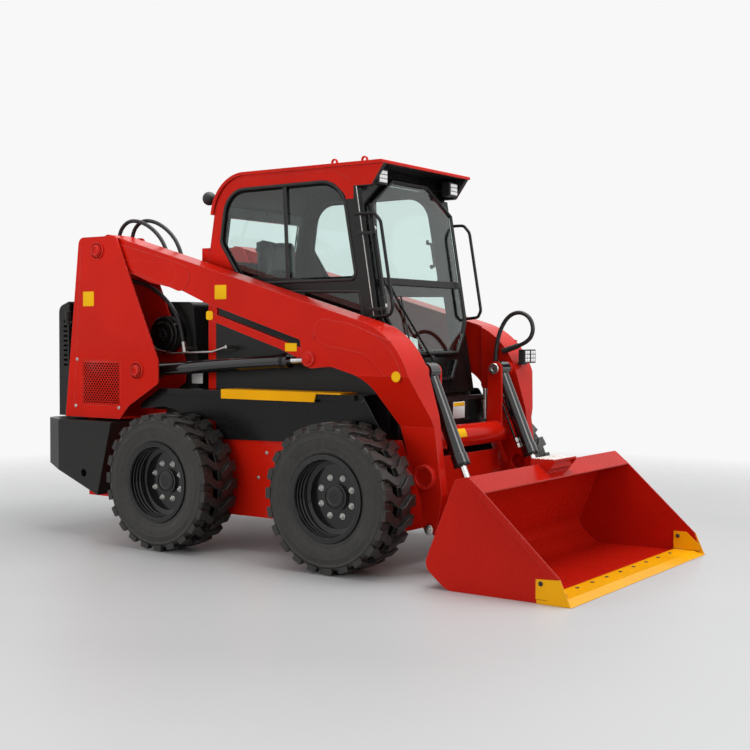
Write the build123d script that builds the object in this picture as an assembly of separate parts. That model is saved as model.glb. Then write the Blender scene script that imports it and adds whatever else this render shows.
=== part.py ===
from build123d import *
import math
import os

# A wheeled skid steer loader: X forward, Y to its left, Z up, millimetres.
# Sizes along X are written from the rear axle, and every solid moves by SHIFT_X
# when it is kept, so that the origin is under the middle of the machine's box.
# Half widths run outward from the middle plane; most pieces are drawn on the
# machine's right, which is at -Y, and mirrored for the left.

# Clearances
SEAT_GAP = 0.3
RUNNING_FIT = 0.05
DOOR_GAP = 8
PLATE = 10

# Wheels
WHEEL_BASE = 1183
TYRE_RADIUS = 385
AXLE_HEIGHT = TYRE_RADIUS
TYRE_BODY_RADIUS = TYRE_RADIUS - 30
TYRE_HALF_TRACK = 882
TYRE_WIDTH = 264
TYRE_INNER = TYRE_HALF_TRACK - TYRE_WIDTH
WHEEL_MIDDLE = TYRE_HALF_TRACK - TYRE_WIDTH / 2
LUGS_PER_SIDE = 23
LUG_WIDTH = 44
LUG_SKEW = 62
LUG_INNER_END = 16
LUG_CORNER = (LUG_WIDTH + LUG_SKEW) / 2
TYRE_LUG_TOP = math.sqrt(TYRE_RADIUS ** 2 - LUG_CORNER ** 2)
TYRE_SIDE_RADIUS = 312
RIM_RADIUS = 222
RIM_SEAT_RADIUS = 206
RIM_INSET = 6
RIM_FLANGE = 8
RIM_METAL = 9
DISC_OUTER_RADIUS = 165
DISC_SET_BACK = 107
HUB_RADIUS = 72
HUB_HEIGHT = 15

# Chassis
WHEEL_GAP = 38
FRAME_HALF = TYRE_INNER - WHEEL_GAP
CASE_WIDTH = 140
BAY_HALF = FRAME_HALF - CASE_WIDTH
FRAME_FLOOR = 200
CASE_TOP = 660
CAB_RAIL_TOP = 620
RAIL_TOP = 760
FRAME_FRONT = 1440
AXLE_RADIUS = 30
AXLE_SEAT = 60
HOUSING_RADIUS = 60
HOUSING_LENGTH = 110
HOUSING_END = FRAME_HALF + HOUSING_LENGTH
FENDER_TOP = 896
FENDER_PLATE = 8
FENDER_OUT = TYRE_INNER - 18
COVER_HALF = 455
COVER_FRONT = 1345
COVER_TOP = 866

# Rear end
REAR_X = -1170
WEIGHT_HALF = 740
WEIGHT_TOP = 692
WEIGHT_BOTTOM = 255
WEIGHT_INNER_X = -1000
TOW_HOLE = (-728, 379)
TOW_HOLE_RADIUS = 24
TOW_HOLE_DEPTH = 90
HOOD_HALF = BAY_HALF
TAILGATE_HALF = 540
TAILGATE_TOP = 1380
TAILGATE_DEPTH = 90
TAILGATE_PIN = 10
TAILGATE_KNUCKLE = 18
TAILGATE_HINGE = (REAR_X + TAILGATE_DEPTH + 2, -TAILGATE_HALF - 8, 1000)
TAILGATE_PINS = ((692, 760), (1290, 1350))
VENT_HEIGHT = 14
VENT_PITCH = 30

# Uprights that carry the lift arms
TOWER_IN = BAY_HALF + PLATE + SEAT_GAP
ARM_SIDE_GAP = 20
ARM_WIDTH = 180
ARM_IN = TOWER_IN + PLATE + ARM_SIDE_GAP
ARM_OUT = ARM_IN + ARM_WIDTH
TOWER_OUT = ARM_OUT + 15 + PLATE
TOWER_BOTTOM = 709
TOWER_TOP = 1789
ARM_PIN = (-657, 1704)
LIFT_PIN = (-331, 997)
PIN_RADIUS = 32
BOSS_RADIUS = 45
GRILLE = (-798, -468, 785, 1054)
GRILLE_BAR = 8

# Lift arms
ARM_FRONT_IN = ARM_IN - 18
ARM_LOW_WIDTH = 58
ARM_LOW_OUT = ARM_FRONT_IN + ARM_LOW_WIDTH
ARM_BEND_TOP = 1000
ARM_BEND_BOTTOM = 740
ARM_PAD = 4
KNEE_RADIUS = 430
ROD_PIN = (916, 1082)
BUCKET_PIN = (1585, 224)
BUCKET_PIN_RADIUS = 22
TILT_PIN = (1482, 1020)
TORQUE_TUBE = (1480, 665)
TORQUE_RADIUS = 61
CROSS_TUBE = (-340, 1600)
CROSS_TUBE_RADIUS = 40
TIE_DOWN = (1556, 489)
TIE_DOWN_RADIUS = 43
TIE_DOWN_RING = 62

# Cylinders
LIFT_Y = (ARM_IN + ARM_OUT) / 2
LIFT_BARREL_RADIUS = 38
LIFT_BARREL_LENGTH = 1050
LIFT_ROD_RADIUS = 20
LIFT_EYE_RADIUS = 46
LIFT_EYE_HALF = 35
TILT_Y = ARM_FRONT_IN - 87
TILT_BARREL_RADIUS = 40
TILT_BARREL_LENGTH = 520
TILT_ROD_RADIUS = 19
TILT_EYE = (1748, 397)
TILT_EYE_RADIUS = 46
TILT_EYE_HALF = 43.7
TILT_PIN_RADIUS = 25
ROD_EYE_RADIUS = 30

# Bucket
BUCKET_HALF = 840
BUCKET_PLATE = 8
BUCKET_SHELL_HALF = BUCKET_HALF - 2 * BUCKET_PLATE
BUCKET_FLOOR = 10
BUCKET_TIP_X = 2530
BUCKET_REAR = (1746, 104)
BUCKET_FLOOR_REAR = 1875
BUCKET_TOP_REAR = (1920, 530)
BUCKET_BROW = (1990, 547)
BUCKET_LIP = (2069, 482)
EDGE_DEPTH = 175
EDGE_THICK = 18
STEP_HALF = 125

# Cab
CAB_HALF = BAY_HALF - 4
CAB_WALL = 30
CAB_FLOOR = CAB_RAIL_TOP + SEAT_GAP
CAB_TOP = 2130
ROOF_HALF = CAB_HALF + 16
ROOF_SHEET = 18
ROOF_FRONT = 1235
CAB_FRONT = 1297
LEAN = 0.17
JAMB = 25.7
GLASS = 6
EYE_X = (880, 1080)
EYE_Y = 390
EYE_HOLE = 12
EYE_RING = 20

# Front door, measured ahead of the cab's leaning front edge
DOOR_AHEAD = 49
DOOR_TUBE = 14
DOOR_BOTTOM = 1092
DOOR_HALF = CAB_HALF - 20
DOOR_HINGE_AHEAD = DOOR_AHEAD + 20
DOOR_HINGE_Y = -CAB_HALF - 4
DOOR_KNUCKLES = (270, 680)
DOOR_KNUCKLE_LENGTH = 50
DOOR_KNUCKLE_RADIUS = 12
DOOR_PIN = 7
HANDLE_RADIUS = 9
HANDLE_Y = CAB_HALF + 20

# Hoses and pipes
HOSE_RADIUS = 12
PIPE_RADIUS = 7
FITTING_RADIUS = HOSE_RADIUS + 4
STALK_RADIUS = HOSE_RADIUS - 1
REAR_HOSE = ((-765, 1720), (-765, 1825), (-684, 1905), (-565, 1895), (-450, 1835), (-365, 1745),
             (-340, 1670))
REAR_HOSE_SHIFT = 80
HOSE_PLATE_Y = ARM_IN - 78
HOSE_PLATE = 8
SIDE_HOSE = ((-560, 1530), (-440, 1508), (-325, 1450), (-225, 1368), (-160, 1270), (-140, 1165))
SIDE_HOSE_Y = TOWER_IN + PLATE + 40
SIDE_PIPE = ((-400, 1161), (-330, 1116), (-212, 1097), (104, 1110), (211, 1139))
SIDE_PIPE_Y = SIDE_HOSE_Y + 15
AUX_HOSE = ((1416, 905), (1416, 1018), (1422, 1135), (1448, 1243), (1502, 1322), (1576, 1345),
            (1642, 1310), (1665, 1237), (1630, 1171), (1566, 1150))
AUX_HOSE_Y = ARM_FRONT_IN - 24
COUPLERS = ((1402, AUX_HOSE_Y - 84), (1410, AUX_HOSE_Y - 42), (1416, AUX_HOSE_Y))
COUPLER_HEIGHT = 178
AUX_FITTING = 104
LAMP_FOOT_X = 1526

# Cylinder motion for each radian of the arm's or bucket's turn
LIFT_TURN = 0.941537
LIFT_STROKE = 737.62
TILT_TURN = -0.058
TILT_STROKE = 201.0

SHIFT_X = -(BUCKET_TIP_X + REAR_X) / 2


# ---------------------------------------------------------------- shapes
def outline(corners, y):
    """A face in the plane of one side, from corners of (x, z, radius)."""
    face = make_face(Polyline(*[(x, y, z) for x, z, radius in corners], close=True))
    for x, z, radius in corners:
        if radius:
            corner = face.vertices().sort_by_distance(Vector(x, y, z))[0]
            face = fillet(corner, radius)
    return face


def slab(corners, y_from, y_to):
    """A plate with that side outline, from one Y to the other."""
    return extrude(outline(corners, y_from), amount=y_to - y_from, dir=(0, 1, 0))


def block(x_from, x_to, y_from, y_to, z_from, z_to):
    middle = ((x_from + x_to) / 2, (y_from + y_to) / 2, (z_from + z_to) / 2)
    return Pos(*middle) * Box(x_to - x_from, y_to - y_from, z_to - z_from)


def upright_pin(x, y, radius, z_from, z_to):
    return Pos(x, y, (z_from + z_to) / 2) * Cylinder(radius, z_to - z_from)


def pin(place, radius, y_from, y_to):
    """A round bar across the machine at (x, z)."""
    bar = Cylinder(radius, abs(y_to - y_from))
    return Pos(place[0], (y_from + y_to) / 2, place[1]) * Rot(90, 0, 0) * bar


def bar_between(start, end, radius):
    run = Vector(*end) - Vector(*start)
    base = Plane(origin=start, z_dir=run.normalized())
    return extrude(base * Circle(radius), amount=run.length)


def rod_along(start, end, radius, y):
    """A round bar between two (x, z) points in the plane of one side."""
    return bar_between((start[0], y, start[1]), (end[0], y, end[1]), radius)


def bent_rod(points, radius, close=False):
    """A round rod or tube through the points, mitred at each bend."""
    path = Polyline(*points, close=close)
    section = Plane(origin=path @ 0, z_dir=path % 0) * Circle(radius)
    return sweep(section, path=path, transition=Transition.RIGHT)


def hose(points, radius):
    """A hose or pipe: straight runs joined by arcs as large as the runs allow."""
    places = [Vector(*point) for point in points]
    radii = []
    for before, here, after in zip(places, places[1:], places[2:]):
        turn = math.radians((here - before).get_angle(after - here))
        shorter = min((here - before).length, (after - here).length)
        radii.append(0.45 * shorter / math.tan(turn / 2))
    print("bend radii", [round(value) for value in radii])
    path = FilletPolyline(*places, radius=radii)
    section = Plane(origin=places[0], z_dir=path % 0) * Circle(radius)
    return sweep(section, path=path)


def end_fitting(end, before, length, y):
    """A fitting that carries on in line from a hose's end, which lies at (x, z)."""
    reach = math.hypot(end[0] - before[0], end[1] - before[1])
    return rod_along(toward(before, end, reach + SEAT_GAP), toward(before, end, reach + length),
                     FITTING_RADIUS, y)


def toward(start, end, distance):
    """The point that far from start on the way to end."""
    run = math.hypot(end[0] - start[0], end[1] - start[1])
    return tuple(a + (b - a) * distance / run for a, b in zip(start, end))


def other_side(shape):
    return mirror(shape, about=Plane.XZ)


def both(shape):
    return [shape, other_side(shape)]


# ---------------------------------------------------------------- chassis
def main_frame():
    """Two chain cases joined by a floor, bulkheads and the rails for the cab."""
    side = [(-330, FRAME_FLOOR, 0), (-330, CASE_TOP, 0), (1360, CASE_TOP, 0),
            (FRAME_FRONT, 470, 0), (FRAME_FRONT, FRAME_FLOOR, 0)]
    case = slab(side, BAY_HALF, FRAME_HALF)
    rail = block(WEIGHT_INNER_X, -330, BAY_HALF, BAY_HALF + PLATE, FRAME_FLOOR, RAIL_TOP)
    seat_rail = block(0, 1200, BAY_HALF - 40, BAY_HALF, CAB_RAIL_TOP - 20, CAB_RAIL_TOP)
    frame = case + rail + seat_rail
    for x in (0, WHEEL_BASE):
        seat = pin((x, AXLE_HEIGHT), AXLE_RADIUS + RUNNING_FIT, FRAME_HALF - AXLE_SEAT, FRAME_HALF + 1)
        frame -= seat
    frame += other_side(frame)
    frame += block(WEIGHT_INNER_X, FRAME_FRONT, -BAY_HALF, BAY_HALF, FRAME_FLOOR, FRAME_FLOOR + PLATE)
    frame += block(FRAME_FRONT - PLATE, FRAME_FRONT, -BAY_HALF, BAY_HALF, FRAME_FLOOR, 560)
    frame += block(-60, -60 + PLATE, -BAY_HALF, BAY_HALF, FRAME_FLOOR, CAB_RAIL_TOP)
    return frame


def front_cover():
    """Box over the front of the chassis, ahead of the cab's foot."""
    side = [(1300, CASE_TOP + SEAT_GAP, 0), (1300, COVER_TOP, 0), (COVER_FRONT - 18, COVER_TOP, 0),
            (COVER_FRONT, COVER_TOP - 18, 0), (COVER_FRONT, CASE_TOP + SEAT_GAP, 0)]
    return slab(side, -COVER_HALF, COVER_HALF)


def axle_housings():
    tubes = []
    for x in (0, WHEEL_BASE):
        place = (x, AXLE_HEIGHT)
        tube = pin(place, HOUSING_RADIUS, FRAME_HALF, HOUSING_END)
        tube -= pin(place, AXLE_RADIUS + RUNNING_FIT, FRAME_HALF - 1, HOUSING_END + 1)
        tubes += both(tube)
    return tubes


def counterweight():
    """Cast weight that wraps round the tail, with a tow hole in each side."""
    half = WEIGHT_HALF
    inner = HOOD_HALF + 12
    plan = make_face(Polyline(
        (-610, half), (-950, half), (-1125, half - 85), (REAR_X, half - 150),
        (REAR_X, 150 - half), (-1125, 85 - half), (-950, -half), (-610, -half),
        (-610, -inner), (WEIGHT_INNER_X, -inner), (WEIGHT_INNER_X, inner), (-610, inner), close=True))
    weight = Pos(0, 0, WEIGHT_BOTTOM) * extrude(plan, amount=WEIGHT_TOP - WEIGHT_BOTTOM)
    cheek = slab([(-620, WEIGHT_BOTTOM, 0), (-612, WEIGHT_BOTTOM, 0), (-495, WEIGHT_TOP, 0),
                  (-620, WEIGHT_TOP, 0)], -half, -inner)
    weight += cheek + other_side(cheek)
    ramp = [(REAR_X - 10, 200, 0), (-612, 200, 0), (-612, WEIGHT_BOTTOM, 0),
            (-950, 384, 0), (REAR_X - 10, 420, 0)]
    weight -= slab(ramp, -half - 10, half + 10)
    hole = pin(TOW_HOLE, TOW_HOLE_RADIUS, half - TOW_HOLE_DEPTH, half + 1)
    weight -= hole + other_side(hole)
    x, y, z = TAILGATE_HINGE
    low, high = TAILGATE_PINS[0]
    return weight + upright_pin(x, y, TAILGATE_PIN, low - 5, high - 5)


def engine_block():
    return block(-930, -380, -300, 300, FRAME_FLOOR + PLATE, 1000)


def rear_door():
    """Steel tailgate with a rounded top and vents, hinged on its right edge."""
    front = REAR_X + TAILGATE_DEPTH
    side = [(REAR_X, WEIGHT_TOP + DOOR_GAP, 0), (REAR_X, TAILGATE_TOP, 50),
            (front, TAILGATE_TOP + 32, 0), (front, WEIGHT_TOP + DOOR_GAP, 0)]
    leaf = slab(side, -TAILGATE_HALF, TAILGATE_HALF)
    hollow = [(REAR_X + 12, WEIGHT_TOP + DOOR_GAP + 12, 0), (REAR_X + 12, TAILGATE_TOP - 12, 38),
              (front + 1, TAILGATE_TOP + 20, 0), (front + 1, WEIGHT_TOP + DOOR_GAP + 12, 0)]
    leaf -= slab(hollow, -TAILGATE_HALF + 14, TAILGATE_HALF - 14)
    for number in range(10):
        z = 1010 + number * VENT_PITCH
        leaf -= block(REAR_X + 40, front - 12, -TAILGATE_HALF - 1, TAILGATE_HALF + 1, z, z + VENT_HEIGHT)
    for number in range(7):
        z = 880 + number * 2 * VENT_PITCH
        leaf -= block(REAR_X - 1, REAR_X + 13, -300, 300, z, z + 2 * VENT_HEIGHT)
    x, y, z = TAILGATE_HINGE
    for low, high in TAILGATE_PINS:
        leaf += upright_pin(x, y, TAILGATE_KNUCKLE, low + DOOR_GAP, high)
        leaf -= upright_pin(x, y, TAILGATE_PIN + RUNNING_FIT, low - 1, high + 1)
        leaf -= upright_pin(x, y, TAILGATE_KNUCKLE + 4, low - 20, low + DOOR_GAP)
    return leaf


def rear_hood():
    """Fixed engine cover between the uprights, with vents in its top."""
    back = REAR_X + TAILGATE_DEPTH + DOOR_GAP
    side = [(back, WEIGHT_TOP + 2, 0), (back, TAILGATE_TOP + 35, 0), (-120, TAILGATE_TOP + 20, 40),
            (-80, 1000, 0), (-80, CASE_TOP + 4, 0), (-330, CASE_TOP + 4, 0),
            (-330, WEIGHT_TOP + 22, 0), (-420, WEIGHT_TOP + 22, 0)]
    inside = [(back - 1, 300, 0), (back - 1, TAILGATE_TOP + 15, 0), (-140, TAILGATE_TOP, 0),
              (-100, 1000, 0), (-100, 300, 0)]
    hood = slab(side, -HOOD_HALF, HOOD_HALF) - slab(inside, -HOOD_HALF + PLATE, HOOD_HALF - PLATE)
    for number in range(8):
        x = -960 + number * 60
        hood -= block(x, x + 26, -300, 300, TAILGATE_TOP - 20, TAILGATE_TOP + 60)
    x, y, z = TAILGATE_HINGE
    low, high = TAILGATE_PINS[1]
    hood += block(x + 6, x + 30, y, -HOOD_HALF, low - 12, low)
    hood += upright_pin(x, y, TAILGATE_PIN + 6, low - 12, low)
    return hood + upright_pin(x, y, TAILGATE_PIN, low - 12, high - 5)


# ---------------------------------------------------------------- uprights
def tower():
    """Right upright: outer and inner plates, rear web and both pins."""
    side = [(-946, TOWER_BOTTOM, 0), (-822, TOWER_TOP, 45), (-509, TOWER_TOP, 30),
            (-163, 1057, 25), (-164, 925, 25), (-405, 788, 0), (-480, TOWER_BOTTOM, 0)]
    outer = slab(side, -TOWER_OUT, -TOWER_OUT + PLATE)
    x_from, x_to, z_from, z_to = GRILLE
    outer -= block(x_from, x_to, -TOWER_OUT - 1, -TOWER_OUT + PLATE + 1, z_from, z_to)
    inner = slab(side, -TOWER_IN - PLATE, -TOWER_IN)
    web = [(-946, TOWER_BOTTOM, 0), (-860, 1460, 0), (-860 + PLATE, 1460, 0),
           (-946 + PLATE, TOWER_BOTTOM, 0)]
    upright = outer + inner + slab(web, -TOWER_OUT + PLATE, -TOWER_IN - PLATE)
    upright += block(-946, -480, -TOWER_OUT, -TOWER_IN, TOWER_BOTTOM, TOWER_BOTTOM + PLATE)
    for place in (ARM_PIN, LIFT_PIN):
        upright += pin(place, BOSS_RADIUS, -TOWER_OUT, -TOWER_OUT - 12)
        upright += pin(place, PIN_RADIUS, -TOWER_OUT - 18, -TOWER_IN)
    return upright


def tower_grille():
    """Slotted steel screen set in the outer plate of the right upright."""
    x_from, x_to, z_from, z_to = (GRILLE[0] + SEAT_GAP, GRILLE[1] - SEAT_GAP,
                                  GRILLE[2] + SEAT_GAP, GRILLE[3] - SEAT_GAP)
    screen = block(x_from, x_to, -TOWER_OUT + 2, -TOWER_OUT + 6, z_from, z_to)
    rows, columns = 9, 3
    high = (z_to - z_from - GRILLE_BAR) / rows
    wide = (x_to - x_from - GRILLE_BAR) / columns
    for row in range(rows):
        for column in range(columns):
            x = x_from + GRILLE_BAR + column * wide
            z = z_from + GRILLE_BAR + row * high
            screen -= block(x, x + wide - GRILLE_BAR, -TOWER_OUT, -TOWER_OUT + PLATE,
                            z, z + high - GRILLE_BAR)
    return screen


def air_cleaner():
    """Drum with a stepped lid on the right upright's inner plate."""
    place = (-286, 1206)
    face = -TOWER_IN - PLATE - SEAT_GAP
    drum = pin(place, 112, face - 32, face)
    drum += pin(place, 96, face - 42, face - 32)
    return drum + pin(place, 34, face - 50, face - 42)


# ---------------------------------------------------------------- side covers
def fender():
    """Right fender: a side panel with a ledge that the step is bolted to."""
    panel = [(-390, 800, 0), (-230, FENDER_TOP, 0), (1215, FENDER_TOP, 20), (1345, 700, 0),
             (700, 630, 0), (260, 622, 0), (200, 720, 0), (-200, 790, 0), (-390, 770, 0)]
    side = slab(panel, -FENDER_OUT, -FENDER_OUT + FENDER_PLATE)
    ledge = block(-78, 1200, -FENDER_OUT, -CAB_HALF - SEAT_GAP, FENDER_TOP - FENDER_PLATE, FENDER_TOP)
    lip = block(-150, 1180, -FENDER_OUT - 20, -FENDER_OUT, FENDER_TOP - 28, FENDER_TOP)
    for x in (330, 640):
        side += pin((x, CASE_TOP - 15), 12, -FENDER_OUT + FENDER_PLATE, -FRAME_HALF - SEAT_GAP)
    return side + ledge + lip


def side_step():
    top = FENDER_TOP + FENDER_PLATE
    edge = FENDER_OUT + 22
    lip = [(270, top, 0), (270, top - 52, 0), (924, top - 52, 0), (940, top, 0)]
    step = slab(lip, -edge - FENDER_PLATE, -edge)
    return step + block(270, 1100, -edge - FENDER_PLATE, -490, FENDER_TOP, top)


# ---------------------------------------------------------------- cab
def front_x(z, ahead=0):
    """X of the cab's leaning front edge at that height, or that far ahead of it."""
    return CAB_FRONT - LEAN * (z - CAB_FLOOR) + ahead


def leaning(ahead_from, ahead_to, z_from, z_to, y_from, y_to):
    """A plate that leans back with the cab's front."""
    corners = [(front_x(z_from, ahead_from), z_from, 0), (front_x(z_to, ahead_from), z_to, 0),
               (front_x(z_to, ahead_to), z_to, 0), (front_x(z_from, ahead_to), z_from, 0)]
    return slab(corners, y_from, y_to)


ROOF_UNDER = CAB_TOP - ROOF_SHEET
REAR_CORNER = (82, 230)
CAB_SIDE = [(0, CAB_FLOOR, 0), (0, 1609, 0), (REAR_CORNER[0], ROOF_UNDER, REAR_CORNER[1]),
            (ROOF_FRONT - 1, ROOF_UNDER, 0), (1152, 2000, 20), (front_x(2000), 2000, 0),
            (front_x(CAB_FLOOR), CAB_FLOOR, 0)]
WINDOW = [(236, 1545, 30), (100, 1735, 40), (145, 1990, 110), (220, 2034, 20), (900, 2036, 90),
          (985, 1960, 60), (1062, 1520, 30), (1040, 1494, 20)]
LOWER_WINDOW = [(430, 1450, 20), (1080, 1440, 20), (1142, 1080, 20), (780, 1080, 20)]
REAR_WINDOW = (326, 1640, 1890)


def cab_side():
    """Right side of the cab: one folded panel with its two windows cut out."""
    wall = slab(CAB_SIDE, -CAB_HALF, -CAB_HALF + CAB_WALL)
    wall -= slab(WINDOW, -CAB_HALF - 5, -CAB_HALF + CAB_WALL + 5)
    wall -= slab(LOWER_WINDOW, -CAB_HALF - 5, -CAB_HALF + CAB_WALL + 5)
    return wall + block(-50, 8, -CAB_HALF, -CAB_HALF + 46, 1634, 1711)


def side_pane(corners):
    """A window pane set in the middle of the right side wall."""
    middle = -CAB_HALF + CAB_WALL / 2
    pane = offset(outline(corners, middle - GLASS / 2), amount=-SEAT_GAP)
    return extrude(pane, amount=GLASS, dir=(0, 1, 0))


def rear_x(z, inside):
    """X that far inside the rear edge of the cab's upper side."""
    slope = REAR_CORNER[0] / (ROOF_UNDER - 1609)
    return inside + max(0, z - 1609) * slope


def rear_plate(inside_from, inside_to, z_from, z_to, half):
    corners = [(rear_x(z_from, inside_from), z_from, 0), (rear_x(z_to, inside_from), z_to, 0),
               (rear_x(z_to, inside_to), z_to, 0), (rear_x(z_from, inside_to), z_from, 0)]
    return slab(corners, -half, half)


def cab_glass():
    panes = both(side_pane(WINDOW)) + both(side_pane(LOWER_WINDOW))
    half, low, high = REAR_WINDOW
    return panes + [rear_plate(16, 16 + GLASS, low + SEAT_GAP, high - SEAT_GAP, half - SEAT_GAP)]


def cab_roof():
    """Roof sheet that turns down over the rear, with four lifting eyes."""
    corner_x, radius = REAR_CORNER
    low = 1900
    sheet = slab([(rear_x(low, -ROOF_SHEET), low, 0),
                  (corner_x - ROOF_SHEET, CAB_TOP, radius + ROOF_SHEET), (ROOF_FRONT, CAB_TOP, 6),
                  (ROOF_FRONT, ROOF_UNDER + SEAT_GAP, 0),
                  (corner_x - SEAT_GAP, ROOF_UNDER + SEAT_GAP, radius),
                  (rear_x(low, -SEAT_GAP), low, 0)], -ROOF_HALF, ROOF_HALF)
    for x in EYE_X:
        place = (x, CAB_TOP + EYE_HOLE + 2)
        eye = pin(place, EYE_RING, -EYE_Y - 6, -EYE_Y + 6) - pin(place, EYE_HOLE, -EYE_Y - 7, -EYE_Y + 7)
        eye -= block(x - 30, x + 30, -EYE_Y - 7, -EYE_Y + 7, 2100, CAB_TOP - 2)
        sheet += eye + other_side(eye)
    return sheet


def cab_rear():
    """Rear wall that leans forward above the hinge line, with the rear window."""
    inner = CAB_HALF - CAB_WALL - SEAT_GAP
    wall = block(4, 34, -inner, inner, 1000, 1609) + rear_plate(4, 34, 1609, 1950, inner)
    half, low, high = REAR_WINDOW
    return wall - rear_plate(0, 40, low, high, half)


def cab_floor():
    inner = CAB_HALF - CAB_WALL - SEAT_GAP
    floor = block(4, front_x(CAB_FLOOR + 20, -10), -inner, inner, CAB_FLOOR, CAB_FLOOR + 20)
    back = block(4, 24, -inner, inner, CAB_FLOOR, 999)
    return floor + back + leaning(-21, -SEAT_GAP, CAB_FLOOR, 1080, -inner, inner)


def door_opening(margin):
    """Corners (y, z) of the front door's outline, inset by the margin."""
    half = DOOR_HALF - margin
    low = DOOR_BOTTOM + margin
    left = [(180 - margin / 3, 2064 - margin), (half, 1904 - margin / 2), (half, 1295 + margin / 3),
            (half - 46, 1210), (272 - margin / 2, low)]
    return left + [(-y, z) for y, z in reversed(left)]


def on_lean(corners, ahead):
    return [(front_x(z, ahead), y, z) for y, z in corners]


def lean_plate(corners, ahead_from, ahead_to):
    """A plate between two leaning planes, with that outline of (y, z)."""
    face = make_face(Polyline(*on_lean(corners, ahead_from), close=True))
    return extrude(face, amount=ahead_to - ahead_from, dir=(1, 0, 0))


def cab_front():
    """Front jamb with the doorway cut out, a sill guard below it and the header."""
    half = CAB_HALF - SEAT_GAP
    top = ROOF_UNDER - SEAT_GAP
    inner = CAB_HALF - CAB_WALL - SEAT_GAP
    jamb = leaning(SEAT_GAP, SEAT_GAP + JAMB, COVER_TOP + 20, 1990, -half, half)
    jamb += leaning(SEAT_GAP, SEAT_GAP + JAMB, 1990, top, -inner, inner)
    jamb -= lean_plate(door_opening(38), -5, JAMB + 10)
    points = on_lean([(-258, DOOR_BOTTOM - 30), (-180, 960), (180, 960), (258, DOOR_BOTTOM - 30)],
                     DOOR_AHEAD - 10)
    guard = bent_rod(points, DOOR_TUBE)
    for y, z in ((-258, DOOR_BOTTOM - 30), (-180, 960), (180, 960), (258, DOOR_BOTTOM - 30)):
        start = (front_x(z, JAMB - 1), y, z)
        guard += bar_between(start, (front_x(z, DOOR_AHEAD - 10), y, z), DOOR_TUBE - 4)
    return jamb + guard


def hinge_point(z):
    return (front_x(z, DOOR_HINGE_AHEAD), DOOR_HINGE_Y, z)


DOOR_HINGE = hinge_point(DOOR_BOTTOM)
DOOR_HINGE_AXIS = (-LEAN / math.hypot(1, LEAN), 0, 1 / math.hypot(1, LEAN))


def along_hinge(radius, low, high):
    start = [a + b * low for a, b in zip(DOOR_HINGE, DOOR_HINGE_AXIS)]
    end = [a + b * high for a, b in zip(DOOR_HINGE, DOOR_HINGE_AXIS)]
    return bar_between(start, end, radius)


def cab_door():
    """Front door: a bent tube round the glass, a cross bar and the hinge knuckles."""
    frame = bent_rod(on_lean(door_opening(DOOR_TUBE), DOOR_AHEAD), DOOR_TUBE, close=True)
    edge = DOOR_HALF - 2 * DOOR_TUBE + 1
    frame += leaning(DOOR_AHEAD + 4, DOOR_AHEAD + 14, 1478, 1514, -edge, edge)
    for rise in DOOR_KNUCKLES:
        frame += along_hinge(DOOR_KNUCKLE_RADIUS, rise, rise + DOOR_KNUCKLE_LENGTH)
        z = DOOR_BOTTOM + rise + DOOR_KNUCKLE_LENGTH / 2
        tab = leaning(DOOR_AHEAD, DOOR_HINGE_AHEAD, z - 20, z + 20, DOOR_HINGE_Y + 2, -DOOR_HALF + 12)
        frame += tab
        frame -= along_hinge(DOOR_PIN + RUNNING_FIT, rise - 1, rise + DOOR_KNUCKLE_LENGTH + 1)
    middle = make_face(Polyline(*on_lean(door_opening(DOOR_TUBE), DOOR_AHEAD - GLASS / 2), close=True))
    pane = extrude(offset(middle, amount=-DOOR_TUBE - SEAT_GAP), amount=GLASS, dir=(1, 0, 0))
    return frame, pane


def door_hinge_lugs():
    """Lugs and pins on the right cab side that the front door turns on."""
    lugs = None
    for rise in DOOR_KNUCKLES:
        x, y, z = [a + b * (rise - 10) for a, b in zip(DOOR_HINGE, DOOR_HINGE_AXIS)]
        lug = block(x - DOOR_HINGE_AHEAD - 28, x, y - 11, -CAB_HALF, z - 12, z + 4)
        lug += along_hinge(DOOR_KNUCKLE_RADIUS - 1, rise - 18, rise - 2)
        lug += along_hinge(DOOR_PIN, rise - 18, rise + DOOR_KNUCKLE_LENGTH - 5)
        lugs = lug if lugs is None else lugs + lug
    return lugs


def grab_handle():
    """Right grab handle, standing off the cab's front corner."""
    points = [(front_x(1850, -22), 1850), (1190, 1850), (1230, 1806), (1310, 1351), (1290, 1312),
              (front_x(1300, -22), 1300)]
    rod = bent_rod([(x, -HANDLE_Y, z) for x, z in points], HANDLE_RADIUS)
    for x, z in (points[0], points[-1]):
        rod += pin((x, z), HANDLE_RADIUS + 4, -HANDLE_Y - HANDLE_RADIUS - 2, -CAB_HALF - SEAT_GAP)
    return rod


def work_lamp():
    """Right head lamp with its bracket to the cab's header."""
    y, z = -CAB_HALF + CAB_WALL + 46, 2051
    case = block(1128, 1176, y - 45, y + 45, z - 40, z + 40)
    lens = block(1176, 1181, y - 39, y + 39, z - 34, z + 34)
    arm = block(front_x(z - 8, JAMB + 2 * SEAT_GAP), 1128, y - 12, y + 12, z - 8, z + 8)
    return case + lens + arm


def beacon():
    """Round lamp at the cab's right rear corner, on a short stalk."""
    y = -CAB_HALF + 36
    ball = Pos(-26, y, 2002) * Sphere(40)
    return ball + bar_between((-26, y, 2002), (rear_x(1965, -ROOF_SHEET) + 2, y, 1965), 9)


def seat():
    """Seat base, and the cushion, back and head rest that it carries."""
    base = block(230, 700, -200, 200, CAB_FLOOR + 20.3, 960)
    cushion = slab([(180, 960.3, 0), (180, 1060, 30), (740, 1090, 40), (765, 960.3, 20)], -230, 230)
    back = slab([(150, 1040, 0), (90, 1520, 30), (190, 1545, 30), (290, 1040, 0)], -225, 225)
    rest = slab([(96, 1500, 0), (62, 1680, 25), (160, 1695, 40), (180, 1500, 0)], -140, 140)
    return base, cushion + back + rest


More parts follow.
